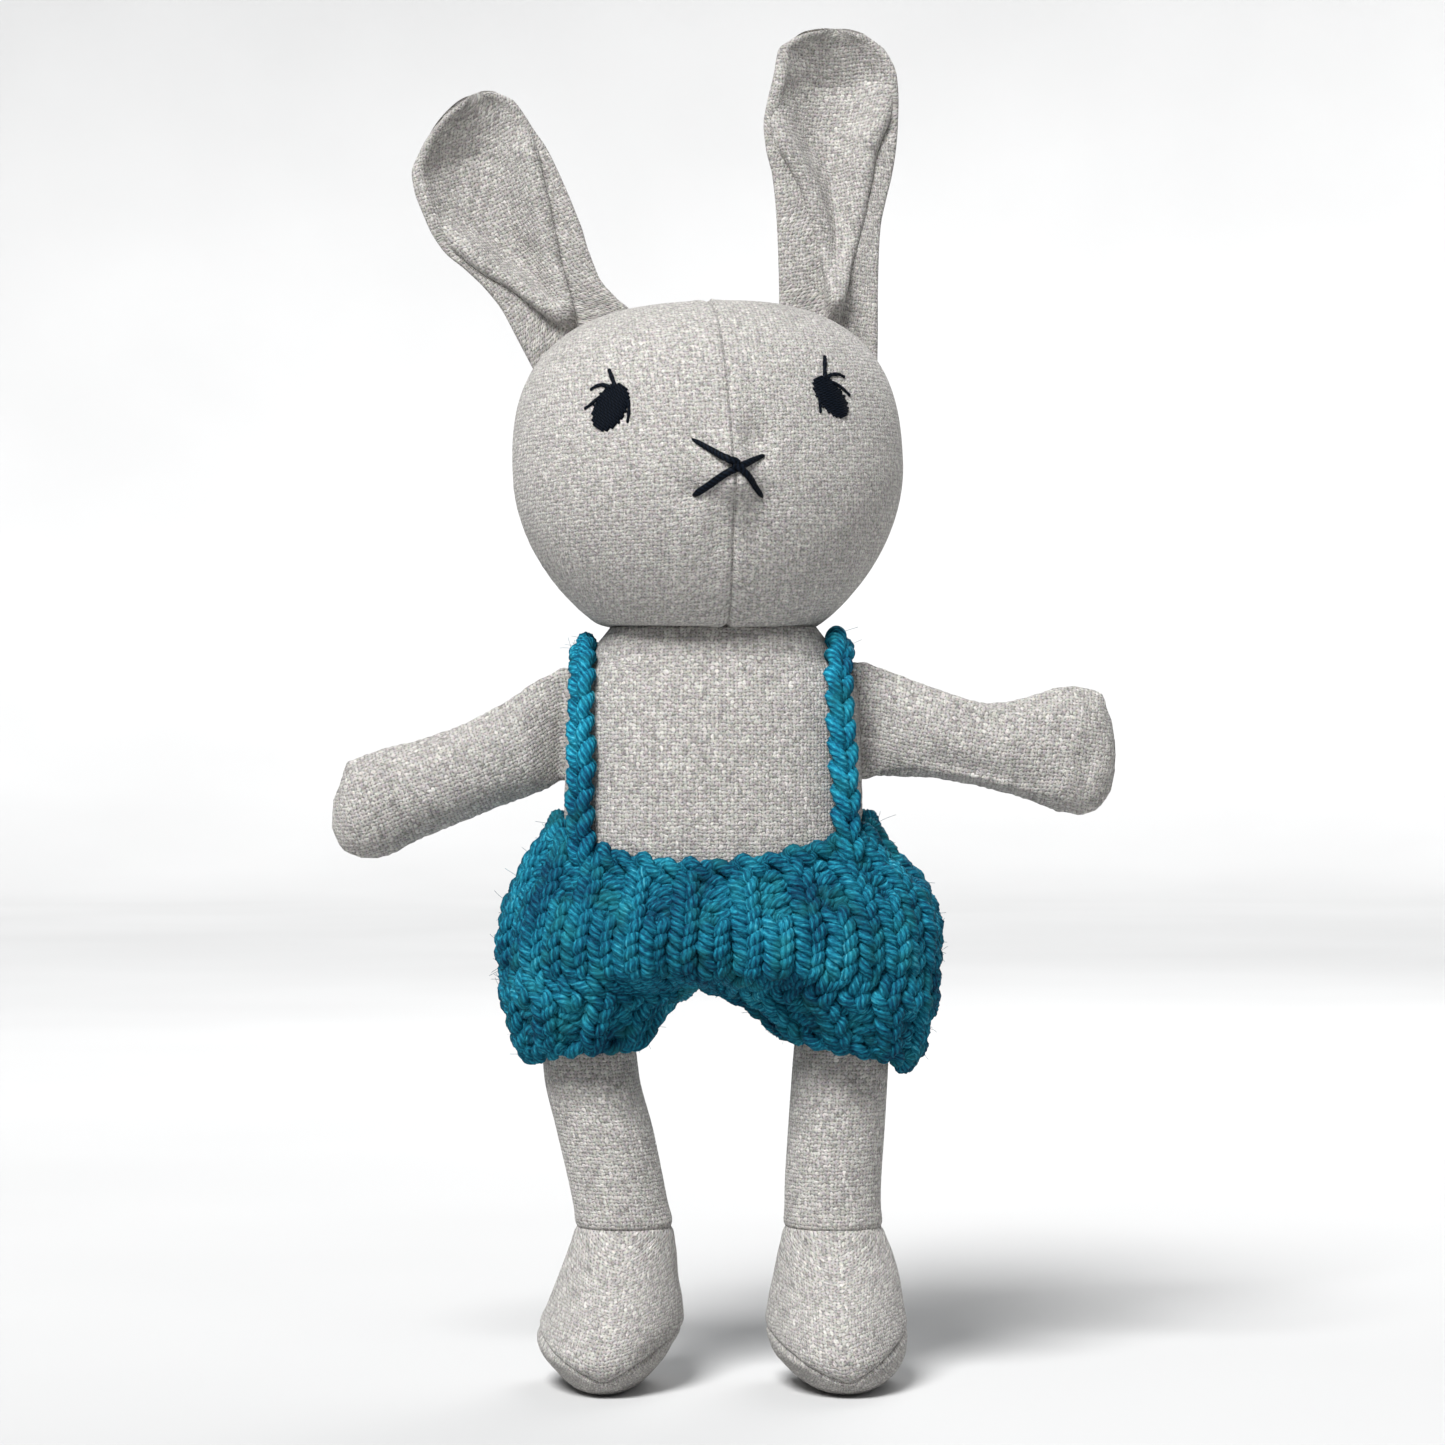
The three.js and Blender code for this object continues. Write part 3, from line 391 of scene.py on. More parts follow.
def blur_sample(values, row, column):
    """Cubic B-spline samples of a coarse grid that closes on itself along its columns."""
    def weights(x):
        i = np.floor(x).astype(int)
        f = x - i
        return i, ((1 - f) ** 3, 3 * f**3 - 6 * f**2 + 4, -3 * f**3 + 3 * f**2 + 3 * f + 1, f**3)

    i, wi = weights(row)
    j, wj = weights(column)
    total = 0
    for a in range(4):
        for b in range(4):
            taken = values[np.clip(i + a - 1, 0, len(values) - 1), (j + b - 1) % values.shape[1]]
            total = total + (wi[a] * wj[b] / 36)[..., None] * taken
    return total


# ---------- Meshes ----------

def quads(rows, columns, closed=False):
    """The four-sided faces of a grid of points; a closed grid's last column joins its first."""
    width = columns if closed else columns + 1
    j, i = (a.ravel() for a in np.mgrid[0:rows, 0:columns])
    low, high, k = j * width, (j + 1) * width, (i + 1) % width
    return np.stack([low + i, low + k, high + k, high + i], 1)


def facing(points, faces):
    """A vector along the normal of each face."""
    a, b, c, d = (points[faces[:, k]] for k in range(4))
    return np.cross(c - a, d - b)


def add(name, data):
    """Puts a new object in the scene."""
    added = bpy.data.objects.new(name, data)
    bpy.context.scene.collection.objects.link(added)
    return added


def make_object(name, points, faces, uv, material):
    """A mesh object from points in design millimetres, four-sided faces and a UV per corner."""
    mesh = bpy.data.meshes.new(name)
    corners = np.asarray(faces, np.int32).ravel()
    mesh.vertices.add(len(points))
    mesh.vertices.foreach_set("co", ((points + ORIGIN_SHIFT) / 1000).astype(np.float32).ravel())
    mesh.loops.add(len(corners))
    mesh.loops.foreach_set("vertex_index", corners)
    mesh.polygons.add(len(faces))
    mesh.polygons.foreach_set("loop_start", np.arange(0, len(corners), 4, dtype=np.int32))
    mesh.polygons.foreach_set("loop_total", np.full(len(faces), 4, np.int32))
    mesh.uv_layers.new(name="cloth").data.foreach_set("uv", np.asarray(uv, np.float32).ravel())
    mesh.update(calc_edges=True)
    mesh.validate()
    mesh.polygons.foreach_set("use_smooth", np.ones(len(mesh.polygons), bool))
    mesh.materials.append(material)
    return add(name, mesh)


def weld(piece):
    """Joins coinciding vertices, where a grid closes on a point."""
    mesh = bmesh.new()
    mesh.from_mesh(piece.data)
    bmesh.ops.remove_doubles(mesh, verts=mesh.verts, dist=2e-6)
    bmesh.ops.dissolve_degenerate(mesh, edges=mesh.edges, dist=1e-7)
    mesh.to_mesh(piece.data)
    mesh.free()
    return piece


def shell(name, outer, inner, uv, material, closed=False):
    """A closed piece of cloth between two grids of points, with a UV for each grid point."""
    rows, columns = outer.shape[0] - 1, outer.shape[1] - 1
    width, layer = columns + 1, (columns + 1) * (rows + 1)
    front = quads(rows, columns)
    faces = [front, front[:, ::-1] + layer]
    edges = [np.arange(width), rows * width + np.arange(width)[::-1]]
    if not closed:
        edges += [np.arange(rows, -1, -1) * width, np.arange(rows + 1) * width + columns]
    for edge in edges:
        a, b = edge[:-1], edge[1:]
        faces.append(np.stack([b, a, a + layer, b + layer], 1))
    faces = np.concatenate(faces)
    points = np.concatenate([outer.reshape(-1, 3), inner.reshape(-1, 3)])
    out = points[front[:, 0]] - points[front[:, 0] + layer]
    if (facing(points, front) * out).sum() < 0:
        faces = faces[:, ::-1]
    uvs = np.tile(uv.reshape(-1, 2), (2, 1))[faces]
    return weld(make_object(name, points, faces, uvs, material))


def closed_form(name, points, material):
    """A solid whose first and last rows of points each close on one point."""
    faces = quads(points.shape[0] - 1, points.shape[1] - 1)
    flat = points.reshape(-1, 3)
    if (facing(flat, faces) * (flat[faces[:, 0]] - flat.mean(0))).sum() < 0:
        faces = faces[:, ::-1]
    uv = np.stack([arc_lengths(points, 1), arc_lengths(points, 0)], -1).reshape(-1, 2)
    return weld(make_object(name, flat, faces, uv[faces], material))


def tubes(paths, sides=8, lobe=0.0, turn=math.inf):
    """Points, faces and UVs of tubes. A path is (points, normals, radius, flatness)."""
    made, start = [], 0
    corner = np.arange(sides)
    caps = np.array([[0, 1, 2, 3], [0, 3, 4, sides - 1], [4, 5, 6, 7]][: 3 if sides == 8 else 1])
    for points, normals, radius, flat in paths:
        along = unit(np.gradient(points, axis=0))
        side = unit(np.cross(along, normals))
        up = np.cross(side, along)
        length = arc_lengths(points, 0)
        angle = TURN * corner / sides + (TURN * length / turn)[:, None]
        size = radius[:, None] * (1 + lobe * np.cos(corner * math.pi))
        ring = (side[:, None] * (size * np.cos(angle))[..., None]
                + up[:, None] * (size * flat * np.sin(angle))[..., None])
        last = len(points) - 1
        faces = quads(last, sides, closed=True)
        j, i = np.divmod(faces[:, 0], sides)
        u, v = np.stack([i, i + 1, i + 1, i], 1) / sides, length[np.stack([j, j, j + 1, j + 1], 1)]
        cap_uv = np.zeros((2 * len(caps), 4, 2))
        cap_uv[len(caps):, :, 1] = length[-1]
        made.append((
            (points[:, None] + ring).reshape(-1, 3),
            np.concatenate([faces, caps[:, ::-1], caps + last * sides]) + start,
            np.concatenate([np.stack([u, v], -1), cap_uv]),
        ))
        start += len(points) * sides
    return tuple(np.concatenate(part) for part in zip(*made))


# ---------- Cloth simulation ----------

CLOTH_SETTINGS = {
    "quality": 6, "mass": 0.3, "tension_stiffness": 12, "compression_stiffness": 12,
    "shear_stiffness": 4, "bending_stiffness": 0.4, "use_pressure": True,
    "uniform_pressure_force": 4, "vertex_group_mass": "seams",
}
SIM_SCALE = 200.0  # design millimetres in one simulated metre
SIM_FRAMES = 16


def puffed(name, points, pinned):
    """How far air pressure moves each point of a closed ring grid, in mm; pinned points stay."""
    rows, columns = points.shape[:2]
    caps = [list(range(columns))[::-1], [(rows - 1) * columns + i for i in range(columns)]]
    faces = quads(rows - 1, columns, closed=True).tolist() + caps
    mesh = bpy.data.meshes.new(name)
    mesh.from_pydata((points.reshape(-1, 3) / SIM_SCALE).tolist(), [], faces)
    work = add(name, mesh)
    group = work.vertex_groups.new(name="seams")
    group.add([int(k) for k in np.flatnonzero(pinned.ravel())], 1.0, "REPLACE")
    cloth = work.modifiers.new("Cloth", "CLOTH")
    for setting, value in CLOTH_SETTINGS.items():
        setattr(cloth.settings, setting, value)
    cloth.settings.effector_weights.gravity = 0
    cloth.point_cache.frame_start = 1
    cloth.point_cache.frame_end = SIM_FRAMES
    scene = bpy.context.scene
    for number in range(1, SIM_FRAMES + 1):
        scene.frame_set(number)
    settled = work.evaluated_get(bpy.context.evaluated_depsgraph_get())
    found = np.zeros(len(mesh.vertices) * 3, np.float32)
    settled.data.vertices.foreach_get("co", found)
    moved = found.reshape(rows, columns, 3) * SIM_SCALE - points
    bpy.data.objects.remove(work)
    bpy.data.meshes.remove(mesh)
    scene.frame_set(1)
    size = np.linalg.norm(moved, axis=-1, keepdims=True)
    return moved * np.minimum(1, PUFF / np.maximum(size, 1e-9))


def stuffed(name, surface, v, seam_angles=(), seam_heights=(), *, columns, rows):
    """The surface as the filling pushes it out between its seams."""
    u_grid, v_grid = grid((0, TURN), v, columns, rows)
    points = surface(u_grid, v_grid)[:, :-1]
    span = v[1] - v[0]
    pinned = np.zeros(points.shape[:2], bool)
    pinned[[0, -1]] = True
    for angle in seam_angles:
        pinned[:, round(angle % TURN / TURN * columns) % columns] = True
    for height in seam_heights:
        pinned[round((height - v[0]) / span * rows)] = True
    moved = puffed(name, points, pinned)
    normal = grid_normals(np.concatenate([points, points[:, :1]], 1), True)[:, :-1]
    moved = moved - normal * (moved * normal).sum(-1).mean()

    def point(angle, t):
        row = (np.clip(t, *v) - v[0]) / span * rows
        return surface(angle, t) + blur_sample(moved, row, angle / TURN * columns)

    return point


# ---------- Materials ----------

class Value:
    """A number, vector or colour inside a material; arithmetic on it adds nodes."""

    def __init__(self, material, socket):
        self.material, self.socket = material, socket

    def math(self, operation, other=0.0):
        return self.material.add("Math", {0: self, 1: other, 2: 0.0}, operation=operation)

    def __add__(self, other):
        return self.math("ADD", other)

    def __sub__(self, other):
        return self.math("SUBTRACT", other)

    def __mul__(self, other):
        return self.math("MULTIPLY", other)


class Material:
    """A new material, with short names for the shader nodes used here."""

    def __init__(self, name, roughness, sheen, specular=0.2):
        self.made = bpy.data.materials.new(name)
        self.made.use_nodes = True
        self.tree = self.made.node_tree
        self.shader = self.tree.nodes["Principled BSDF"]
        self.fill(self.shader, {
            "Roughness": roughness, "Sheen Weight": sheen, "Sheen Roughness": 0.5,
            "Specular IOR Level": specular,
        })

    def fill(self, node, inputs):
        for key, value in inputs.items():
            if isinstance(value, Value):
                self.tree.links.new(value.socket, node.inputs[key])
            else:
                node.inputs[key].default_value = value

    def add(self, kind, inputs=(), output=0, **settings):
        """A new node's output; inputs go from their name or place to what they take."""
        node = self.tree.nodes.new(f"ShaderNode{kind}")
        for key, value in settings.items():
            setattr(node, key, value)
        self.fill(node, dict(inputs))
        return Value(self, node.outputs[output])

    def uv(self):
        return self.add("UVMap", uv_map="cloth")

    def place(self):
        return self.add("TexCoord", output="Object")

    def vector(self, operation, a, b=(0.0, 0.0, 0.0), scale=1.0):
        return self.add("VectorMath", {0: a, 1: b, 3: scale}, operation=operation)

    def split(self, vector):
        x = self.add("SeparateXYZ", {0: vector})
        return x, Value(self, x.socket.node.outputs[1])

    def join(self, x, y, z=0.0):
        return self.add("CombineXYZ", {0: x, 1: y, 2: z})

    def noise(self, vector, scale, detail=2.0, roughness=0.5, output="Fac"):
        inputs = {"Vector": vector, "Scale": scale, "Detail": detail, "Roughness": roughness}
        return self.add("TexNoise", inputs, output)

    def ramp(self, value, stops, light=1.0):
        """Colours along a value; stops are (position, colour), each colour times light."""
        made = self.add("ValToRGB", {0: value})
        elements = made.socket.node.color_ramp.elements
        while len(elements) < len(stops):
            elements.new(0.5)
        for element, (position, color) in zip(elements, stops):
            element.position = position
            element.color = (*(light * c for c in color), 1.0)
        return made

    def mix(self, share, a, b, blend="MIX"):
        a, b = ((*c, 1.0) if isinstance(c, tuple) else c for c in (a, b))
        return self.add("Mix", {0: share, 6: a, 7: b}, 2, data_type="RGBA", blend_type=blend)

    def finish(self, colour, relief=None, strength=0.0, distance=0.0):
        """The material with its colour and a relief of this strength and distance."""
        inputs = {"Base Color": colour}
        if relief:
            bump = {"Strength": strength, "Distance": distance, "Height": relief}
            inputs["Normal"] = self.add("Bump", bump)
        self.fill(self.shader, inputs)
        return self.made


def wool_material(name, felted, light):
    """Plain-woven melange wool: threads over and under each other, each with its own tone."""
    n = Material(name, 0.95, 0.12)
    uv = n.uv()
    wander = n.vector("SUBTRACT", n.noise(uv, 0.55, output="Color"), (0.5, 0.5, 0.5))
    threads = n.vector("SCALE", uv, scale=1 / THREAD_PITCH)
    u, v = n.split(n.vector("ADD", threads, n.vector("SCALE", wander, scale=1.5)))
    column, row = u.math("FLOOR"), v.math("FLOOR")
    waves, rounded = [], []
    for across, along, line in ((u, v, column), (v, u, row)):
        waves.append((along * math.pi).math("SINE") * (line * math.pi).math("COSINE"))
        rounded.append((across * math.pi).math("SINE").math("ABSOLUTE"))
    warp, weft = waves[0] * 0.5 + rounded[0], rounded[1] - waves[1] * 0.5
    top, height = warp.math("GREATER_THAN", weft), warp.math("MAXIMUM", weft)
    warp_tone = n.noise(n.join(column * 3.7, v * 0.33), 1.0, 3.0, 0.6)
    weft_tone = n.noise(n.join(u * 0.33, row * 3.7, 9.0), 1.0, 3.0, 0.6)
    tone = weft_tone + (warp_tone - weft_tone) * top
    fibres, felt = n.noise(uv, 3.4, 3.0, 0.7), n.noise(uv, 0.9, 3.0, 0.65)
    tone = tone * (1 - felted) + felt * felted + (fibres - 0.5) * 0.55
    shades = [(0.25, (0.13, 0.123, 0.12)), (0.5, (0.5, 0.48, 0.455)), (0.72, (0.98, 0.945, 0.89))]
    colour = n.ramp(tone, shades, light)
    colour = n.mix(0.22, colour, n.noise(uv, 1.3, 1.0, output="Color"), "SOFT_LIGHT")
    # painted shade: the colour is darkened where a thread dips under its neighbours, less so on
    # felted cloth
    gap = n.ramp(height, [(0.2, (0.2, 0.2, 0.21)), (0.85, (1.0, 1.0, 1.0))])
    colour = n.mix(1.0 - 0.55 * felted, colour, n.mix(1.0, colour, gap, "MULTIPLY"))
    return n.finish(colour, height * (1 - 0.5 * felted) + fibres * 0.9, 0.75, 0.00028)


def yarn_material(name, light):
    """Plied yarn, dyed unevenly from navy through teal to light blue; UV is round and along it."""
    n = Material(name, 0.75, 0.0, 0.1)
    u, v = n.split(n.uv())
    lobes = (u * (TURN * PLIES)).math("COSINE")
    hair = n.noise(n.join(u * 16.0, v * 0.8), 1.3, 3.0, 0.7)
    place = n.place()
    # the lobes term is painted shade: the yarn's colour is darker in the grooves between plies
    tone = n.noise(place, 75.0, 3.0, 0.62) * 0.6 + hair * 0.7 + lobes * 0.07
    colour = n.ramp(tone, [
        (0.4, (0.001, 0.012, 0.035)), (0.55, (0.002, 0.044, 0.088)), (0.67, (0.004, 0.105, 0.17)),
        (0.8, (0.014, 0.225, 0.33)), (0.95, (0.12, 0.44, 0.52)),
    ], light)
    green = n.ramp(n.noise(place, 130.0), [(0.5, (0.0, 0.0, 0.0)), (0.68, (1.0, 1.0, 1.0))])
    colour = n.mix(green * 0.3, colour, (0.012, 0.15, 0.13))
    return n.finish(colour, lobes * 0.2 + hair, 0.8, 0.0004)


def thread_material(name, dark, light, roughness):
    """Twisted cotton thread."""
    n = Material(name, roughness, 0.0, 0.05)
    u, v = n.split(n.uv())
    strands = (u * (TURN * 3) + v * 5.0).math("SINE")
    # partly painted shade: the strands term darkens the grooves between strands; the noise is the
    # thread's own uneven tone
    tone = strands * 0.18 + n.noise(n.join(u * 9.0, v * 1.4), 2.0, 2.0, 0.6)
    return n.finish(n.ramp(tone, [(0.3, dark), (0.75, light)]), tone, 0.7, 0.0002)


def filling_material(name):
    """Loose wool filling: pale tangled fibres."""
    n = Material(name, 1.0, 0.4)
    tangle = n.noise(n.uv(), 0.8, 5.0, 0.7)
    colour = n.ramp(tangle, [(0.35, (0.62, 0.59, 0.52)), (0.7, (0.88, 0.86, 0.8))])
    return n.finish(colour, tangle, 0.9, 0.001)


WOOL = wool_material("wool_cloth", 0.3, 0.71)
HEAD_WOOL = wool_material("head_wool_cloth", 0.55, 0.79)
EAR_WOOL = wool_material("ear_cloth", 0.4, 0.76)
KNIT = yarn_material("blue_knit", 1.0)
STRAP_YARN = yarn_material("blue_strap_yarn", 1.4)
EMBROIDERY = thread_material(
    "embroidery_thread", (0.0006, 0.001, 0.002), (0.006, 0.01, 0.018), 0.5)
SEWING = thread_material("sewing_thread", (0.45, 0.43, 0.4), (0.85, 0.83, 0.79), 0.7)
FILLING = filling_material("wool_filling")


# ---------- Woven covers ----------

def seam_profile(distance, depth):
    """The cloth turns in at a seam and swells a little beside it."""
    return depth * (0.28 * bell((distance - 2.4) / 1.6) - bell(distance / 0.7))


def as_sheet(piece, points, held, **more):
    """Works out the flat cloth's width and length along the points, in metres, and keeps nothing.
    """
    flat = (arc_lengths(points, 1)[:, -1].max() / 1000, arc_lengths(points, 0)[-1].max() / 1000)
    across, along = np.diff(points, axis=1)[:-1], np.diff(points, axis=0)[:, :-1]


def cloth_panel(name, node, body, surface, u, v, size, seams=("left", "right"), material=WOOL,
                closed=False, place=None, relief=None, middle=0.5, level=0.5, pucker=0.14,
                depth=SEAM_DEPTH, from_below=False, bend=None):
    """A panel of woven cloth on a surface, turned in at its seams, as one closed piece.

    It replaces the node and rides on the body; given bend, a start and an end, it stays fixed where
    it is, on no body. Its grid has size columns and rows, and its threads run straight along the
    column at middle and the row at level, both shares of the size. The threads of a panel seen
    from_below lie in the ground's plane and turn up round its edge."""
    u_grid, v_grid = grid(u, v, *size)
    points = surface(u_grid, v_grid)
    normal = grid_normals(points, closed)
    across, along = arc_lengths(points, 1), arc_lengths(points, 0)
    far = np.full(points.shape[:2], 99.0)
    distance = {
        "left": across, "right": across[:, -1:] - across,
        "bottom": along, "top": along[-1:] - along,
    }
    height = np.zeros(points.shape[:2])
    for seam in seams:
        away = distance[seam]
        along_it = along if seam in ("left", "right") else across
        far = np.minimum(far, away)
        wave = np.sin(along_it * 1.9 + np.sin(along_it * 0.7) * 2)
        height = height + pucker * wave * np.exp(-away / 2.6)
    height = height + seam_profile(far, depth)
    if relief:
        height = height + relief(points)
    outer = points + normal * height[..., None]
    inner = outer - normal * CLOTH
    j, i = round(level * size[1]), round(middle * size[0])
    uv = np.stack([across - across[:, i:i + 1], along - along[j:j + 1]], -1) + len(name) * 7.3
    if from_below:
        rise = outer[..., 2:] - outer[..., 2].min()
        uv = outer[..., :2] + unit(normal[..., :2]) * rise
    if place:
        outer, inner = place(outer), place(inner)
    piece = shell(name, outer, inner, uv, material, closed)
    as_sheet(piece, outer, "stretched", rests_on=[f"{body}_filling"])
    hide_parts(node)
    if bend:
        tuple(bend[0])
        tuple(bend[1])
        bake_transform(piece)
    else:
        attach(piece, body)
    return piece


def stuffing(body, surface, v, place=None, inset=CLOTH + SEAM_DEPTH + LINING_GAP):
    """The loose filling inside a body's covers: a lumpy solid, clear of the cloth."""
    points = surface(*grid((0, TURN), v, columns=56, rows=40))
    normal = grid_normals(points, True)
    x, y, z = np.moveaxis(points, -1, 0)
    lumps = 0.3 * np.sin(x * 0.9 + 1) * np.sin(z * 0.8) * np.sin(y * 0.7 + 2) - 0.3
    points = points + normal * (lumps - inset)[..., None]
    for row in (0, -1):
        points[row] = points[row].mean(0)
    piece = closed_form(f"{body}_filling", place(points) if place else points, FILLING)
    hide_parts(f"{body}_stuffing")
    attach(piece, body)


def face_relief(points):
    """The nose seam's pinch, the dent beside it, and the pull of the embroidery."""
    x, _, z = np.moveaxis(points, -1, 0)
    off = x - HEAD_SEAM_X

    def spot(depth, x0, width, z0, height):
        return depth * bell((x - x0) / width) * bell((z - z0) / height)

    total = 0.8 * bell(off / 3.2) * ease(z, -2, 4) * (1 - ease(z, 9, 17))
    total = total + (spot(-2.3, 7, 4.5, 6, 4.6) - spot(1.0, -10, 5, -7, 4))
    total = total + spot(2.3, HEAD_SEAM_X, 3.4, -5.2, 3.4)
    total = total + (spot(-1.1, 5, 3, -16, 7) - spot(0.8, -3.5, 3, -20, 9))
    total = total + 0.72 * bell(off / 0.7) * ease(z, 0, 6)  # above the nose the seam is flat
    pulls = [(end, 0.7, 2.6) for stitch in NOSE_STROKES.values() for end in (stitch[0], stitch[-1])]
    pulls += [(eye["centre"], 0.35, 7) for eye in EYES.values()]
    for at, depth, width in pulls:
        total = total - depth * bell(np.hypot(x - at[0], z - at[1]) / width)
    return total * (points[..., 1] < -12)


def make_head():
    """The filling and its three panels; returns the two panels of the face."""
    seam, front, neck = (math.radians(HEAD[k]) for k in ("seam_angle", "front_seam", "neck_angle"))
    limits = (math.radians(-88), math.radians(88))
    held = [math.radians(angle) for angle in HEAD["held"]]
    seams = (front, seam, math.pi - seam)
    surface = stuffed("head_form", head_point, limits, seams, held, columns=72, rows=44)
    stuffing("head", head_point, (held[-1], math.pi / 2), place_head)

    def panel(name, node, u, size, **more):
        return cloth_panel(
            name, node, "head", surface, u, (neck, math.pi / 2), size, material=HEAD_WOOL,
            place=place_head, level=0.45, **more)

    faces = {"left": ((-math.pi - seam, front), 1.0), "right": ((front, seam), 0.0)}
    made = {
        side: panel(f"face_cover_{side}", f"face_panel_{side}", u, (100, 110),
                    relief=face_relief, middle=middle, pucker=0.06)
        for side, (u, middle) in faces.items()
    }
    panel("head_back_cover", "head_back_panel", (seam, math.pi - seam), (110, 100), pucker=0.1)
    return made


HALVES = {"front": (-math.pi, 0), "back": (0, math.pi)}  # angles of a body's two panels


def make_torso():
    low, top = TORSO_BOTTOM, TORSO_ROWS[-1][0]
    surface = stuffed("torso_form", torso_point, (low - 8, top), (0, math.pi), columns=56, rows=36)
    stuffing("torso", torso_point, (low - CLOSING, top - 4.6))
    for side, u in HALVES.items():
        cloth_panel(
            f"torso_{side}_cover", f"torso_{side}_panel", "torso", surface, u,
            (low - CLOSING, top - 0.4), (90, 90), pucker=0.15)


def pivot_of(body):
    """Where the joint that carries a body is, in metres."""
    return next(joint for joint in frame["joints"] if joint["child"] == body)["pos_m"]


SHOULDER_BEND = 0.012  # metres out from the shoulder's pivot to the end point given as bend; nothing is bent


def make_arm(side):
    body, out = f"arm_{side}", ARMS[side][0]
    surface = arm_point(ARMS[side])
    tip = ARMS[side][1][-1][0]
    stuffing(body, surface, (5, tip - 1), inset=CLOTH + 1.2)
    cover = stuffed(
        f"{body}_form", surface, (0.5, tip - 1.5), (0, math.pi), columns=36, rows=28)
    pivot = pivot_of(body)
    bend = (pivot, (pivot[0] + out * SHOULDER_BEND, *pivot[1:]))
    for face, u in HALVES.items():
        cloth_panel(
            f"{body}_{face}_cover", f"{body}_{face}_panel", body, cover, u, (-4, tip), (50, 76),
            pucker=0.22, bend=bend)


def make_leg(side):
    body = f"leg_{side}"
    surface = leg_point(LEGS[side])
    stuffing(body, surface, (UNDERSIDE, HIP_HEIGHT + 9), inset=CLOTH + 1.4)
    cover = stuffed(
        f"{body}_form", surface, (UNDERSIDE - 8, HIP_HEIGHT + 8), seam_heights=(ANKLE,),
        columns=40, rows=44)

    def seam(angle):
        toe, flank = SOLE_SEAM["toe"], SOLE_SEAM["side"]
        return toe + (flank - toe) * np.abs(np.cos(angle)) ** 1.4

    parts = (
        (f"{body}_tube", "leg_tube_cover", (ANKLE, HIP_HEIGHT + CLOSING), (76, 84), ("bottom",)),
        (f"foot_{side}_upper", "foot_upper_cover", (seam, ANKLE), (104, 46), ("bottom", "top")),
        (f"foot_{side}_sole", "foot_sole_cover", (UNDERSIDE - CLOSING, seam), (104, 40), ("top",)),
    )
    for node, name, limits, size, seams in parts:
        cloth_panel(
            f"{name}_{side}", node, body, cover, (math.pi / 2, math.pi / 2 + TURN), limits, size,
            seams, closed=True, depth=0.5, from_below="sole" in name)


# ---------- Ears ----------

def ear_grid(side, columns, rows):
    """The middle surface of an ear and each point's distance from the ear's edge."""
    ear = EARS[side]
    tip = ear["rows"][-1][0]
    knots, marks = [0, 0.24, 0.76, 1], np.linspace(0, 1, columns + 1)

    def point(k, s):
        left, right = smooth(ear["rows"], s)
        low, high = smooth(ear["creases"], s)
        width = right - left
        low = np.clip(low, left + 0.07 * width, right - 0.3 * width)
        high = np.clip(high, low + 0.02 * width, right - 0.07 * width)
        spans = np.stack([left, low, high, right])
        i = np.clip(np.searchsorted(knots, k, side="right") - 1, 0, 2)
        f = (k - np.take(knots, i)) / np.take(np.diff(knots), i)
        before, after = (np.take_along_axis(spans, i[None] + n, 0)[0] for n in (0, 1))
        x = before * (1 - f) + after * f
        inside = np.clip((x - low) / (high - low), 0, 1)
        tipped = np.clip((tip - s) / 14, 0, 1) ** 0.7
        y = EAR_CUP * ease(s, 2, 26) * tipped * np.sin(math.pi * inside) ** 0.8
        shift = 0
        reach = 1.1 + 1.3 * ease(s, 8, 30)
        for end, crease, sign in ((ear["rolls"][0], low, 1), (ear["rolls"][1], high, -1)):
            strength = ease(s, 0, 9) * (1 - ease(s, end - 16, end))
            into = (x - crease) * sign
            roll = np.where(into > 0, into / reach * np.exp(1 - into / reach), 0)
            flange = np.where(into <= 0, np.exp(into / 2.2), np.exp(-into / 0.7))
            y = y - EAR_ROLL * strength * roll + EAR_FLANGE * strength * flange
            shift = shift - sign * 0.9 * strength * bell((into - 1.1) / 0.9)
        return stack(x + shift, y, s), np.minimum(x - left, right - x)

    # each column starts just inside the head
    k = np.broadcast_to(marks, (240, columns + 1))
    s = np.broadcast_to(np.linspace(-11, 30, 240)[:, None], k.shape)
    points, _ = point(k, s)
    outside = inside_head(turned(points, about_y(ear["lean"]), ear["root"])) > 1
    base = s[:, 0][np.argmax(outside, 0)] - 1.5
    share = 1 - (1 - np.linspace(0, 1, rows + 1)[:, None]) ** 1.5
    s = base + (tip - base) * share
    points, edge = point(np.broadcast_to(marks, s.shape), s)
    return points, np.minimum(np.maximum(edge, 0), (tip - s) * 0.9)


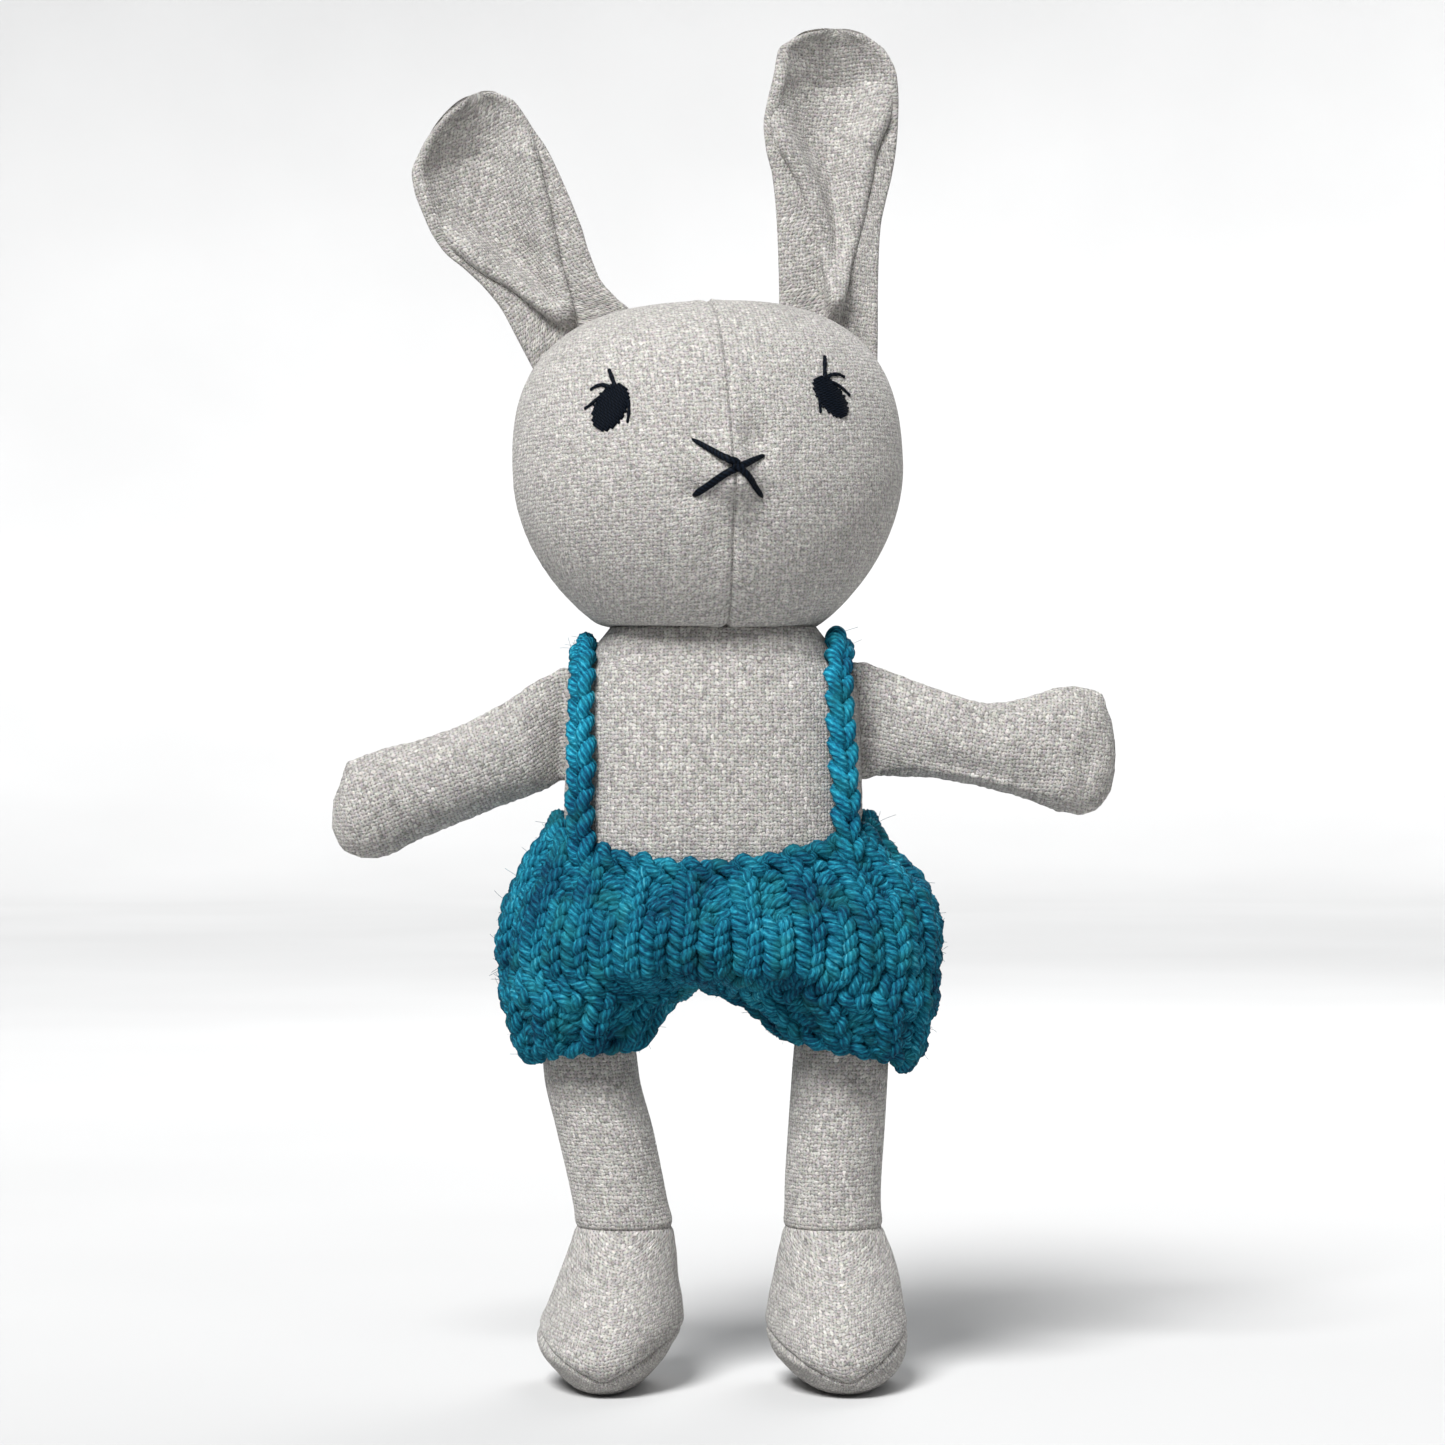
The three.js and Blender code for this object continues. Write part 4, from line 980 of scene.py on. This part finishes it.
def make_ear(side):
    """Two layers of cloth on the ear's middle surface, which close on each other at its edge."""
    body = f"ear_{side}"
    columns, rows, level = 124, 116, 80
    points, edge = ear_grid(side, columns, rows)
    normal = grid_normals(points, False)
    normal = -normal if normal[..., 1].mean() > 0 else normal
    thick = EAR_LAYER * np.sqrt(1 - (1 - np.clip(edge / 1.6, 0, 1)) ** 2) + 0.05
    x, _, z = np.moveaxis(points, -1, 0)
    soft = 0.18 * np.sin(x * 0.45 + z * 0.21) * np.sin(z * 0.33 + 1)
    place = place_ear(side)
    start = Vector(pivot_of(body))
    end = start + Vector((place(np.array([0.0, 0, 14])) - place(np.zeros(3))) / 1000)
    for layer, sign in (("front", 1), ("back", -1)):
        outer = points + normal * (sign * (thick + soft * np.minimum(1, edge / 3)))[..., None]
        inner = points + normal * (sign * 0.03)
        across, along = arc_lengths(outer, 1), arc_lengths(outer, 0)
        across = across - across[:, columns // 2][:, None]
        along = along - along[level] + points[level, :, 2]
        uv = np.stack([across, along], -1) + 31 * sign
        piece = shell(f"{body}_{layer}_cloth", place(outer), place(inner), uv, EAR_WOOL)
        as_sheet(piece, points, "folded")
        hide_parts(f"{body}_{layer}")
        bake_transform(piece)


# ---------- Embroidery ----------

NOSE_STROKES = {
    "over": [(-9.5, 6.6, 0.65), (-0.8, 0.3, 0.95), (3, -3, 0.95), (8.5, -9.3, 0.75)],
    "under": [(-9.5, -8.1, 1.05), (-1.2, -3, 0.95), (4, -0.6, 0.85), (9.4, 1.6, 0.65)],
}
EYES = {
    "left": {
        "centre": (-28.9, 15.7), "long": 6.5, "short": 3.9, "slant": 57,
        "lashes": [
            [(-27.2, 20, 0.6), (-27.9, 22.9, 0.6), (-28.6, 25.7, 0.5)],
            [(-28, 20.4, 0.55), (-30.6, 21.6, 0.55), (-31.9, 21.4, 0.5), (-33.6, 20.5, 0.4)],
            [(-29.6, 19, 0.5), (-31.3, 18.5, 0.5), (-33.7, 16.7, 0.45), (-35.3, 15.7, 0.45)],
            [(-24.4, 17.5, 0.45), (-24.5, 14.5, 0.45), (-25.1, 11.2, 0.35)],
        ],
    },
    "right": {
        "centre": (28, 16.2), "long": 6.3, "short": 3.4, "slant": -57,
        "lashes": [
            [(26.6, 20.6, 0.6), (27, 24.4, 0.6), (27.4, 27.2, 0.5)],
            [(26.9, 20.6, 0.55), (28.6, 22, 0.55), (30.6, 22.2, 0.5), (32.6, 21.4, 0.4)],
            [(28, 20.2, 0.5), (29.8, 19.6, 0.5), (31.9, 18.1, 0.45), (33.6, 16.5, 0.45)],
            [(24.6, 18, 0.45), (24.7, 14.8, 0.45), (24.8, 12, 0.4)],
        ],
    },
}


# where the front seam crosses the widest line of the face
HEAD_SEAM_X = float(head_point(np.array(math.radians(HEAD["front_seam"])), np.array(0.0))[0])


class Face:
    """Finds the cloth of the face in front of a point of the head's own x and z."""

    def __init__(self, covers):
        self.trees = []
        for piece in covers.values():
            count = len(piece.data.vertices)
            points = np.zeros(count * 3, np.float32)
            piece.data.vertices.foreach_get("co", points)
            points = points.reshape(-1, 3) * 1000 - ORIGIN_SHIFT
            own = (points - np.array(HEAD["centre"])) @ HEAD_AXES
            faces = [tuple(p.vertices) for p in piece.data.polygons]
            self.trees.append(BVHTree.FromPolygons([Vector(p) for p in own], faces))

    def at(self, x, z):
        hits = [tree.ray_cast(Vector((x, -90, z)), Vector((0, 1, 0))) for tree in self.trees]
        found = min((hit for hit in hits if hit[0] is not None), key=lambda hit: hit[0].y)
        return np.array(found[0]), np.array(found[1])

    def path(self, x, z, lift):
        """Points and normals over the cloth along x and z."""
        found = [self.at(a, b) for a, b in zip(x, z)]
        points = np.array([p for p, _ in found])
        normals = np.array([n for _, n in found])
        normals = np.where(normals[:, 1:2] > 0, -normals, normals)
        return points + normals * np.asarray(lift)[:, None], normals


def stroke_path(face, stroke, lift, beads, height=0.75):
    """A line of thread along a stroke's points [x, z, half width], pinched at each stitch end."""
    knots = np.linspace(0, 1, len(stroke))
    t = np.linspace(0, 1, 14 * len(stroke))
    x, z, half_width = smooth([(k, *row) for k, row in zip(knots, stroke)], t)
    radius = half_width * (0.86 + 0.22 * np.abs(np.sin(math.pi * beads * t)))
    ends = np.minimum(1, np.minimum(t, 1 - t) / 0.06)
    radius = radius * (0.35 + 0.65 * np.sqrt(ends))
    bed = lift(t) + radius * height * 0.55 - 0.5 * (1 - ends)
    points, normals = face.path(x, z, bed)
    return points, normals, radius, height


def satin_paths(face, eye):
    """Satin stitches side by side across an oval, slightly raised in the middle."""
    paths = []
    slant = math.radians(eye["slant"])
    c, s = math.cos(slant), math.sin(slant)
    count = 19
    for k in range(count):
        a = eye["long"] * 0.97 * (2 * (k + 0.5) / count - 1)
        reach = eye["short"] * math.sqrt(1 - (a / eye["long"]) ** 2) + 0.25 * math.sin(k * 2.4)
        b = np.linspace(-reach, reach, 12)
        slide = 0.55 * b / eye["short"]  # the stitches lie a little askew
        x = eye["centre"][0] + (a + slide) * c - b * s
        z = eye["centre"][1] + (a + slide) * s + b * c
        arch = 0.75 * (1 - (b / reach) ** 2) * (1 - 0.5 * (a / eye["long"]) ** 2)
        points, normals = face.path(x, z, arch - 0.1)
        paths.append((points, normals, np.full(12, 0.4), 0.8))
    return paths


def thread_piece(name, node, body, points, faces, uvs, material, slot):
    """A piece of thread, from what tubes gives."""
    piece = make_object(name, points, faces, uvs, material)
    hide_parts(node)
    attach(piece, body)


def make_face(covers):
    face = Face(covers)
    made = {}
    for side, eye in EYES.items():
        lashes = [stroke_path(face, lash, np.zeros_like, 2.5) for lash in eye["lashes"]]
        made[f"eye_{side}"] = satin_paths(face, eye) + lashes

    def climb(t):  # over the other stitch of the nose, where they cross
        return 1.1 * np.exp(-(((t - 0.42) / 0.17) ** 4))

    for name, lift in (("over", climb), ("under", np.zeros_like)):
        made[f"nose_stitch_{name}"] = [stroke_path(face, NOSE_STROKES[name], lift, 1, 0.9)]
    for node, paths in made.items():
        points, faces, uvs = tubes(paths)
        thread_piece(
            f"{node}_thread", node, "head", place_head(points), faces, uvs, EMBROIDERY,
            "embroidery_thread")


NECK = {"centre": -2.2, "half_width": 20.8, "half_depth": 15.2, "height": 201.8}


def make_neck_stitching():
    """The ladder stitch that joins head and torso: a thread that goes up and down on its way."""
    count = 481
    angle = np.linspace(0, TURN, count)
    across, along = NECK["half_width"] * np.cos(angle), NECK["half_depth"] * np.sin(angle)
    points = stack(NECK["centre"] + across, along, NECK["height"] + 0.4 * np.sin(angle * 40))
    normals = stack(np.cos(angle), np.sin(angle), 0 * angle)
    thread = tubes([(points, normals, np.full(count, 0.3), 1.0)])
    thread_piece("neck_stitches", "neck_stitching", "torso", *thread, SEWING, "sewing_thread")


# ---------- Knitting ----------

FRACTIONS = 241  # points of each ring of the shorts
HEIGHTS = np.arange(84, 153.01, 1.0)  # where the rings are, a millimetre apart


def evenly(points):
    """A line's points moved along it to equal spacing."""
    length = arc_lengths(points, 0)
    at = np.linspace(0, length[-1], FRACTIONS)
    return np.stack([np.interp(at, length, points[:, k]) for k in range(3)], -1)


def shorts_half(side):
    """Rings of the shorts' outer surface at each height: round the hip, or round the leg below."""
    left, count = side == "left", 400
    sign = -1 if left else 1
    edge = math.radians(94)  # from the side to the middle, and a little over it
    around_hip = np.linspace(-edge, edge - TURN if left else edge, count)
    around_leg = np.linspace(*((0, -TURN) if left else (-math.pi, math.pi)), count)
    table = []
    for z in HEIGHTS:
        centre, half_width, front, back = smooth(SHORTS["hip"], max(z, SHORTS["fork"][1]))
        x, y = ring_point(around_hip, half_width, front, back, SHORTS["hip_square"])
        hip = evenly(stack(centre + x, y, z))
        centre, half_width, front, back = smooth(SHORTS["legs"][side], z)
        inner = abs(SHORTS["crotch"] - centre) + 1  # the halves meet without a gap
        inner = half_width + (max(inner, half_width) - half_width) * ease(z, *SHORTS["meet"])
        x, y = ring_point(around_leg, 1.0, front, back, SHORTS["leg_square"])
        x = x * np.where(x * sign < 0, inner, half_width)
        leg = evenly(stack(centre + x, y, z))
        share = 1 - ease(z, *SHORTS["fork"])
        ring = hip * (1 - share) + leg * share
        # the middle is drawn in between the legs
        dip = 6 * bell((ring[:, 0] - SHORTS["crotch"]) / 13) * (1 - ease(z, *SHORTS["drawn_in"]))
        ring[:, 1] -= np.sign(ring[:, 1]) * dip * np.clip(np.abs(ring[:, 1]) / 25, 0, 1)
        table.append(ring)
    return np.array(table)


def waist_edge(fraction):
    """Height of the shorts' top edge; fraction 0 is the front, 0.5 the side and 1 the back."""
    middle = np.abs(np.cos(math.pi * fraction)) ** 1.6
    centre = np.where(fraction < 0.5, SHORTS["front"], SHORTS["back"])
    return SHORTS["side"] + (centre - SHORTS["side"]) * middle


def band_foot(fraction):
    """Height of the line where the waistband's ribs end."""
    return waist_edge(fraction) - SHORTS["band"]


class Knit:
    """Places stitches on a table of rings: fraction round, course up, and depth out."""

    def __init__(self, table, low, high, courses, folds=0.0, limit=1.0):
        self.table, self.low, self.high, self.courses = table, low, high, courses
        self.normals = unit(grid_normals(table, False))
        self.folds, self.limit = folds, limit

    def at(self, fraction, course, depth):
        fraction = np.clip(fraction, 0, self.limit)
        low, high = self.low(fraction), self.high(fraction)
        z = low + (high - low) * course / self.courses
        row = np.clip(z - HEIGHTS[0], 0, len(HEIGHTS) - 1.001)
        column = np.clip(fraction * (FRACTIONS - 1), 0, FRACTIONS - 1.001)
        i, j = row.astype(int), column.astype(int)
        f, g = (row - i)[..., None], (column - j)[..., None]
        found = []
        for values in (self.table, self.normals):
            lower = values[i, j] * (1 - g) + values[i, j + 1] * g
            upper = values[i + 1, j] * (1 - g) + values[i + 1, j + 1] * g
            found.append(lower * (1 - f) + upper * f)
        point, normal = found[0], unit(found[1])
        fold = self.folds * np.sin(fraction * 61 + np.sin(fraction * 17) * 1.5)
        fold = fold * bell((z - high + 12) / 9)
        return point + normal * (depth + fold)[..., None], normal


def uneven(t, rng):
    """Random numbers along t: a new one at each stitch, and a straight line between them."""
    knots = np.arange(math.floor(t[0]), math.ceil(t[-1]) + 2)
    return np.interp(t, knots, rng.normal(0, 1, len(knots)))


def stitch_line(t, course, ribbed, rng):
    """Across, up and depth of one course of loops; t counts stitches."""
    kind = np.tanh(3.5 * np.sin(math.pi * t)) if ribbed else np.ones_like(t)
    wobble = [uneven(t, rng) for _ in range(3)]
    across = t + LEAN * np.sin(2 * TURN * t) + 0.04 * np.sin(TURN * t) + 0.035 * wobble[0]
    wave = np.cos(TURN * t)
    # purl loops have flat heads
    wave = np.where(kind < 0, signed_power(wave, 1 + 0.4 * kind), wave)
    up = course - LOOP / 2 * wave + 0.05 * wobble[1]
    depth = -kind * KNIT_DEPTH * np.cos(2 * TURN * t) + 0.15 * wobble[2]
    return across, up, depth + (0.75 * (kind - 1) if ribbed else 0)


def stray_fibres(paths, rng, count):
    """Short curved hairs that stand up from the yarn."""
    hairs = []
    reach = np.linspace(0, 1, 7)[:, None]
    for _ in range(count):
        points, normals, radius, _ = paths[rng.integers(len(paths))]
        k = rng.integers(len(points))
        normal = normals[k] if rng.random() < 0.8 else -normals[k]
        start = points[k] + normal * radius[k] * 0.6
        away = unit(normal * 0.8 + rng.normal(0, 0.9, 3))
        bend = unit(rng.normal(0, 1, 3)) * rng.uniform(0.6, 1.6)
        length = rng.uniform(1.6, 3.6)
        line = start + away * reach * length + bend * reach**2 * length * 0.5
        hairs.append((line, np.tile(unit(np.cross(away, bend)), (7, 1)), np.full(7, 0.05), 1.0))
    return hairs


def yarn_piece(name, paths, rng, hairs, material=KNIT):
    points, faces, uvs = tubes(paths, lobe=0.05, turn=PLY_TURN)
    extra = tubes(stray_fibres(paths, rng, hairs), sides=4)
    points = np.concatenate([points, extra[0]])
    faces = np.concatenate([faces, extra[1] + len(points) - len(extra[0])])
    return make_object(name, points, faces, np.concatenate([uvs, extra[2]]), material)


def yarn_radius(t, rng):
    return YARN * (1 + 0.05 * uneven(t, rng))


KNIT_SURFACE = -YARN - KNIT_DEPTH  # the middle of the yarn, so that loops reach the outer surface


def knitted(knit, stitches, ribbed, relief, edge, rng):
    """Paths of a piece's courses of loops, the first ones ribbed, and of its edge."""
    t = np.linspace(0, stitches, stitches * STEPS + 1)
    paths = []
    for course in range(knit.courses):
        across, up, depth = stitch_line(t, course + 0.5, course < ribbed, rng)
        points, normals = knit.at(across / stitches, up, KNIT_SURFACE + depth * relief)
        paths.append((points, normals, yarn_radius(t, rng), 1.0))
    t = np.linspace(0, stitches, stitches * edge["steps"] + 1)
    points, normals = knit.at(t / stitches, *edge["line"](t))
    paths.append((points, normals, yarn_radius(t, rng) * edge["thick"], 1.0))
    return paths


def knit_pieces(name, node, knit, paths, rng, hairs, fractions, courses, closed=False):
    """A knitted piece's yarn, and behind it a thin ground sheet, so that no gap shows through."""
    yarn = yarn_piece(f"{name}_yarn", paths, rng, hairs)
    fraction, course = np.meshgrid(fractions, courses)
    outer, inner = (
        knit.at(fraction, course, np.full(fraction.shape, KNIT_SURFACE - behind))[0]
        for behind in (0.5, 1.2)
    )
    uv = np.stack([arc_lengths(outer, 1) / 9, arc_lengths(outer, 0)], -1)
    sheet = shell(f"{name}_ground", outer, inner, uv, KNIT, closed)
    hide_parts(node)
    as_sheet(sheet, outer, "gathered", with_pieces=[yarn])
    return yarn, sheet


def make_half(side, table):
    rng = np.random.default_rng(7 if side == "left" else 8)
    inner, outer = SHORTS["cuffs"][side]

    def cuff(a):
        return inner + (outer - inner) * np.sin(math.pi * np.clip(a, 0, 1)) ** 2 + YARN

    def cast_on(t):
        return -0.15 + 0.3 * np.cos(TURN * t), KNIT_SURFACE + 0.9 * np.sin(TURN * t)

    knit = Knit(table, cuff, band_foot, BODY_COURSES, folds=1.0)
    edge = {"steps": 16, "line": cast_on, "thick": 1}
    paths = knitted(knit, STITCHES, CUFF_COURSES, 1, edge, rng)
    pieces = knit_pieces(
        f"shorts_{side}", f"shorts_{side}_half", knit, paths, rng, HAIRS["half"],
        np.linspace(0, 1, 81), np.linspace(0.1, BODY_COURSES + 0.4, 40))
    for piece in pieces:
        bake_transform(piece)


def make_waist(left, right):
    """The ribbed band, from the front round the left side to the back and on round the right."""
    rng = np.random.default_rng(9)
    table = np.concatenate([left, right[:, -2::-1]], 1)[:, ::2]

    def both_ways(line):
        return lambda a: line(1 - np.abs(1 - 2 * a))

    def bind_off(t):
        rise = BAND_COURSES + 0.1 + 0.38 * np.sin(TURN * t) + 0.12 * np.sin(math.pi * t)
        return rise, KNIT_SURFACE + 0.2 + 1.0 * np.cos(TURN * t)

    last = 1 - 1e-6  # just short of the first stitch again
    knit = Knit(table, both_ways(band_foot), both_ways(waist_edge), BAND_COURSES, limit=last)
    edge = {"steps": 18, "line": bind_off, "thick": 1.04}
    paths = knitted(knit, 2 * STITCHES, BAND_COURSES, 0.85, edge, rng)
    pieces = knit_pieces(
        "shorts_waist", "shorts_waist", knit, paths, rng, HAIRS["waist"],
        np.linspace(0, last, 161), np.linspace(-0.4, BAND_COURSES, 16), closed=True)
    for piece in pieces:
        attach(piece, "torso")


def make_shorts():
    halves = {side: shorts_half(side) for side in ("left", "right")}
    for side, table in halves.items():
        make_half(side, table)
    make_waist(halves["left"], halves["right"])


# ---------- Straps ----------

def torso_skin(x, height, angle):
    """Where a ray from inside the torso meets its cover, and the cover's normal there."""
    direction = np.array([0, -math.cos(angle), math.sin(angle)])

    def fullness(x, y, z):
        half_width, front, back = smooth(TORSO_ROWS, z)
        depth = front if y < 0 else back
        return abs(x / half_width) ** TORSO_SQUARE + abs(y / depth) ** TORSO_SQUARE

    near, far = 0.0, 60.0
    for _ in range(26):  # halves the stretch that holds the cover each time
        middle = (near + far) / 2
        y, z = direction[1] * middle, height + direction[2] * middle
        if z < STRAP["top"] and fullness(x, y, z) < 1:
            near = middle
        else:
            far = middle
    at = np.array([x, direction[1] * near, height + direction[2] * near])
    steps = 0.3 * np.eye(3)
    normal = np.array([fullness(*(at + step)) - fullness(*(at - step)) for step in steps])
    return at + np.array([TORSO_X, 0, 0]), normal / np.linalg.norm(normal)


def strap_line(side):
    """Points and normals along a strap, just off the torso's cover."""
    waist, shoulder = STRAP[side]
    sideways = [(0, waist), (0.3, shoulder), (0.58, shoulder * 0.97), (0.8, 0), (1, -waist)]
    over, down = 0.25, 0.75  # shares of the way where the strap bends over the shoulder
    heights = [STRAP[key] for key in ("front_end", "shoulders", "shoulders", "back_end")]
    points, normals = [], []
    for t in np.linspace(0, 1, 90):
        x = float(smooth(sideways, t)[0])
        turn = min(max((t - over) / (down - over), 0), 1) * math.pi
        height = np.interp(t, (0, over, down, 1), heights)
        point, normal = torso_skin(x, height, turn)
        # behind, the left strap passes over the right one
        crossing = float(ease(19 - abs(x), 0, 8)) if t > 0.6 and side == "left" else 0.0
        points.append(point + normal * (YARN + 1.1 + crossing * 4.4))
        normals.append(normal)
    points, normals = np.array(points), np.array(normals)
    for _ in range(6):
        for line in (points, normals):
            line[1:-1] = (line[:-2] + 2 * line[1:-1] + line[2:]) / 4
    return points, unit(normals)


def make_strap(side):
    """A chain of plied loops, each pulled through the one before."""
    centre, normals = strap_line(side)
    length = arc_lengths(centre, 0)
    total = length[-1]
    count = round(total / STRAP["pitch"])
    pitch = total / count
    along = unit(np.gradient(centre, axis=0))
    lines = (centre, normals, np.cross(along, normals))
    rng = np.random.default_rng(11 if side == "left" else 12)
    # along half a loop: place across, place along in pitches, and depth
    leg = [
        (0, 0.15, -0.35, -1.6), (0.25, 0.75, -0.05, 0.3), (0.5, 1.7, 0.35, 1.0),
        (0.75, 2.3, 0.75, 0.3), (0.9, 1.6, 1.0, -1.2), (1, 0, 1.1, -1.8),
    ]
    half = 26
    k = np.concatenate([np.linspace(0, 1, half), np.linspace(1, 0, half)[1:]])
    mirror = np.concatenate([-np.ones(half), np.ones(half - 1)])
    x, up, depth = smooth(leg, k)
    paths = []
    for stitch in range(-1, count):
        at = np.clip((stitch + 0.4 + up) * pitch, -4, total + 3)
        point, normal, aside = (
            np.stack([np.interp(at, length, line[:, c]) for c in range(3)], -1) for line in lines
        )
        beyond = at - np.clip(at, 0, total)
        end = np.where((beyond < 0)[:, None], along[0], along[-1])
        swing = 1 + 0.06 * rng.normal()
        across = (x * mirror * swing + 0.25 * rng.normal())[:, None] * aside
        out = normal * (depth + 0.1 * rng.normal())[:, None]
        radius = np.full(len(k), 1.12 * YARN * (1 + 0.04 * rng.normal()))
        paths.append((point + end * beyond[:, None] + across + out, unit(normal), radius, 1.0))
    piece = yarn_piece(f"strap_{side}_yarn", paths, rng, HAIRS["strap"], STRAP_YARN)
    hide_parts(f"strap_{side}")
    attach(piece, "torso")


# ---------- Camera, light and stage ----------

def make_stage():
    """A plain pale floor that curves up to a low wall all round."""
    floor, bend, wall = 3.2, 1.2, 1.5
    profile = [(r, 0.0) for r in (0.0, 0.3, 0.8, 1.8, floor)]
    for a in np.linspace(0, math.pi / 2, 16)[1:]:
        profile.append((floor + bend * math.sin(a), bend * (1 - math.cos(a))))
    profile.append((floor + bend, wall))
    count = 96
    points = [
        (r * math.cos(TURN * k / count), r * math.sin(TURN * k / count), z)
        for r, z in profile for k in range(count)
    ]
    mesh = bpy.data.meshes.new("sweep")
    mesh.from_pydata(points, [], quads(len(profile) - 1, count, closed=True).tolist())
    mesh.polygons.foreach_set("use_smooth", [True] * len(mesh.polygons))
    paper = Material("pale_paper", 0.95, 0.0)
    grain = paper.noise(paper.place(), 3.0)
    mesh.materials.append(paper.finish(paper.ramp(grain, [(0.3, (0.51,) * 3), (0.7, (0.54,) * 3)])))
    add("sweep", mesh)


def add_light(name, kind, energy, towards, **settings):
    """A light that shines from the direction of towards, a vector from the object to it."""
    data = bpy.data.lights.new(name, kind)
    data.energy = energy
    for key, value in settings.items():
        setattr(data, key, value)
    light = add(name, data)
    light.rotation_euler = Vector(towards).to_track_quat("Z", "Y").to_euler()
    return light


def make_lights():
    """Soft daylight from above, the front and the left, with a pale room around."""
    add_light("key_light", "SUN", 5.3, (-0.26, -0.62, 0.76), angle=0.4)
    add_light("back_light", "SUN", 0.9, (0.55, 0.75, 0.45), angle=0.9)
    place, target = Vector((0.4, 1.3, 1.1)), Vector((0, 0, 0.17))
    add_light("rim_light", "AREA", 9, place - target, size=0.8).location = place
    world = bpy.data.worlds.new("soft_room")
    world.use_nodes = True
    room = world.node_tree.nodes["Background"].inputs
    room["Color"].default_value = (0.94, 0.97, 1, 1)
    room["Strength"].default_value = 0.2
    bpy.context.scene.world = world
    bpy.context.scene.view_settings.view_transform = "Standard"


def make_camera():
    data = bpy.data.cameras.new("camera")
    data.lens, data.sensor_width = CAMERA["lens"], 36
    camera = add("camera", data)
    camera.location = (np.array([0, -CAMERA["distance"], CAMERA["height"]]) + ORIGIN_SHIFT) / 1000
    camera.rotation_euler = (math.pi / 2, 0, 0)
    bpy.context.scene.camera = camera


make_camera()
make_stage()
make_lights()
face_covers = make_head()
make_face(face_covers)
make_torso()
make_neck_stitching()
for side in ("left", "right"):
    make_ear(side)
    make_arm(side)
    make_leg(side)
    make_strap(side)
make_shorts()
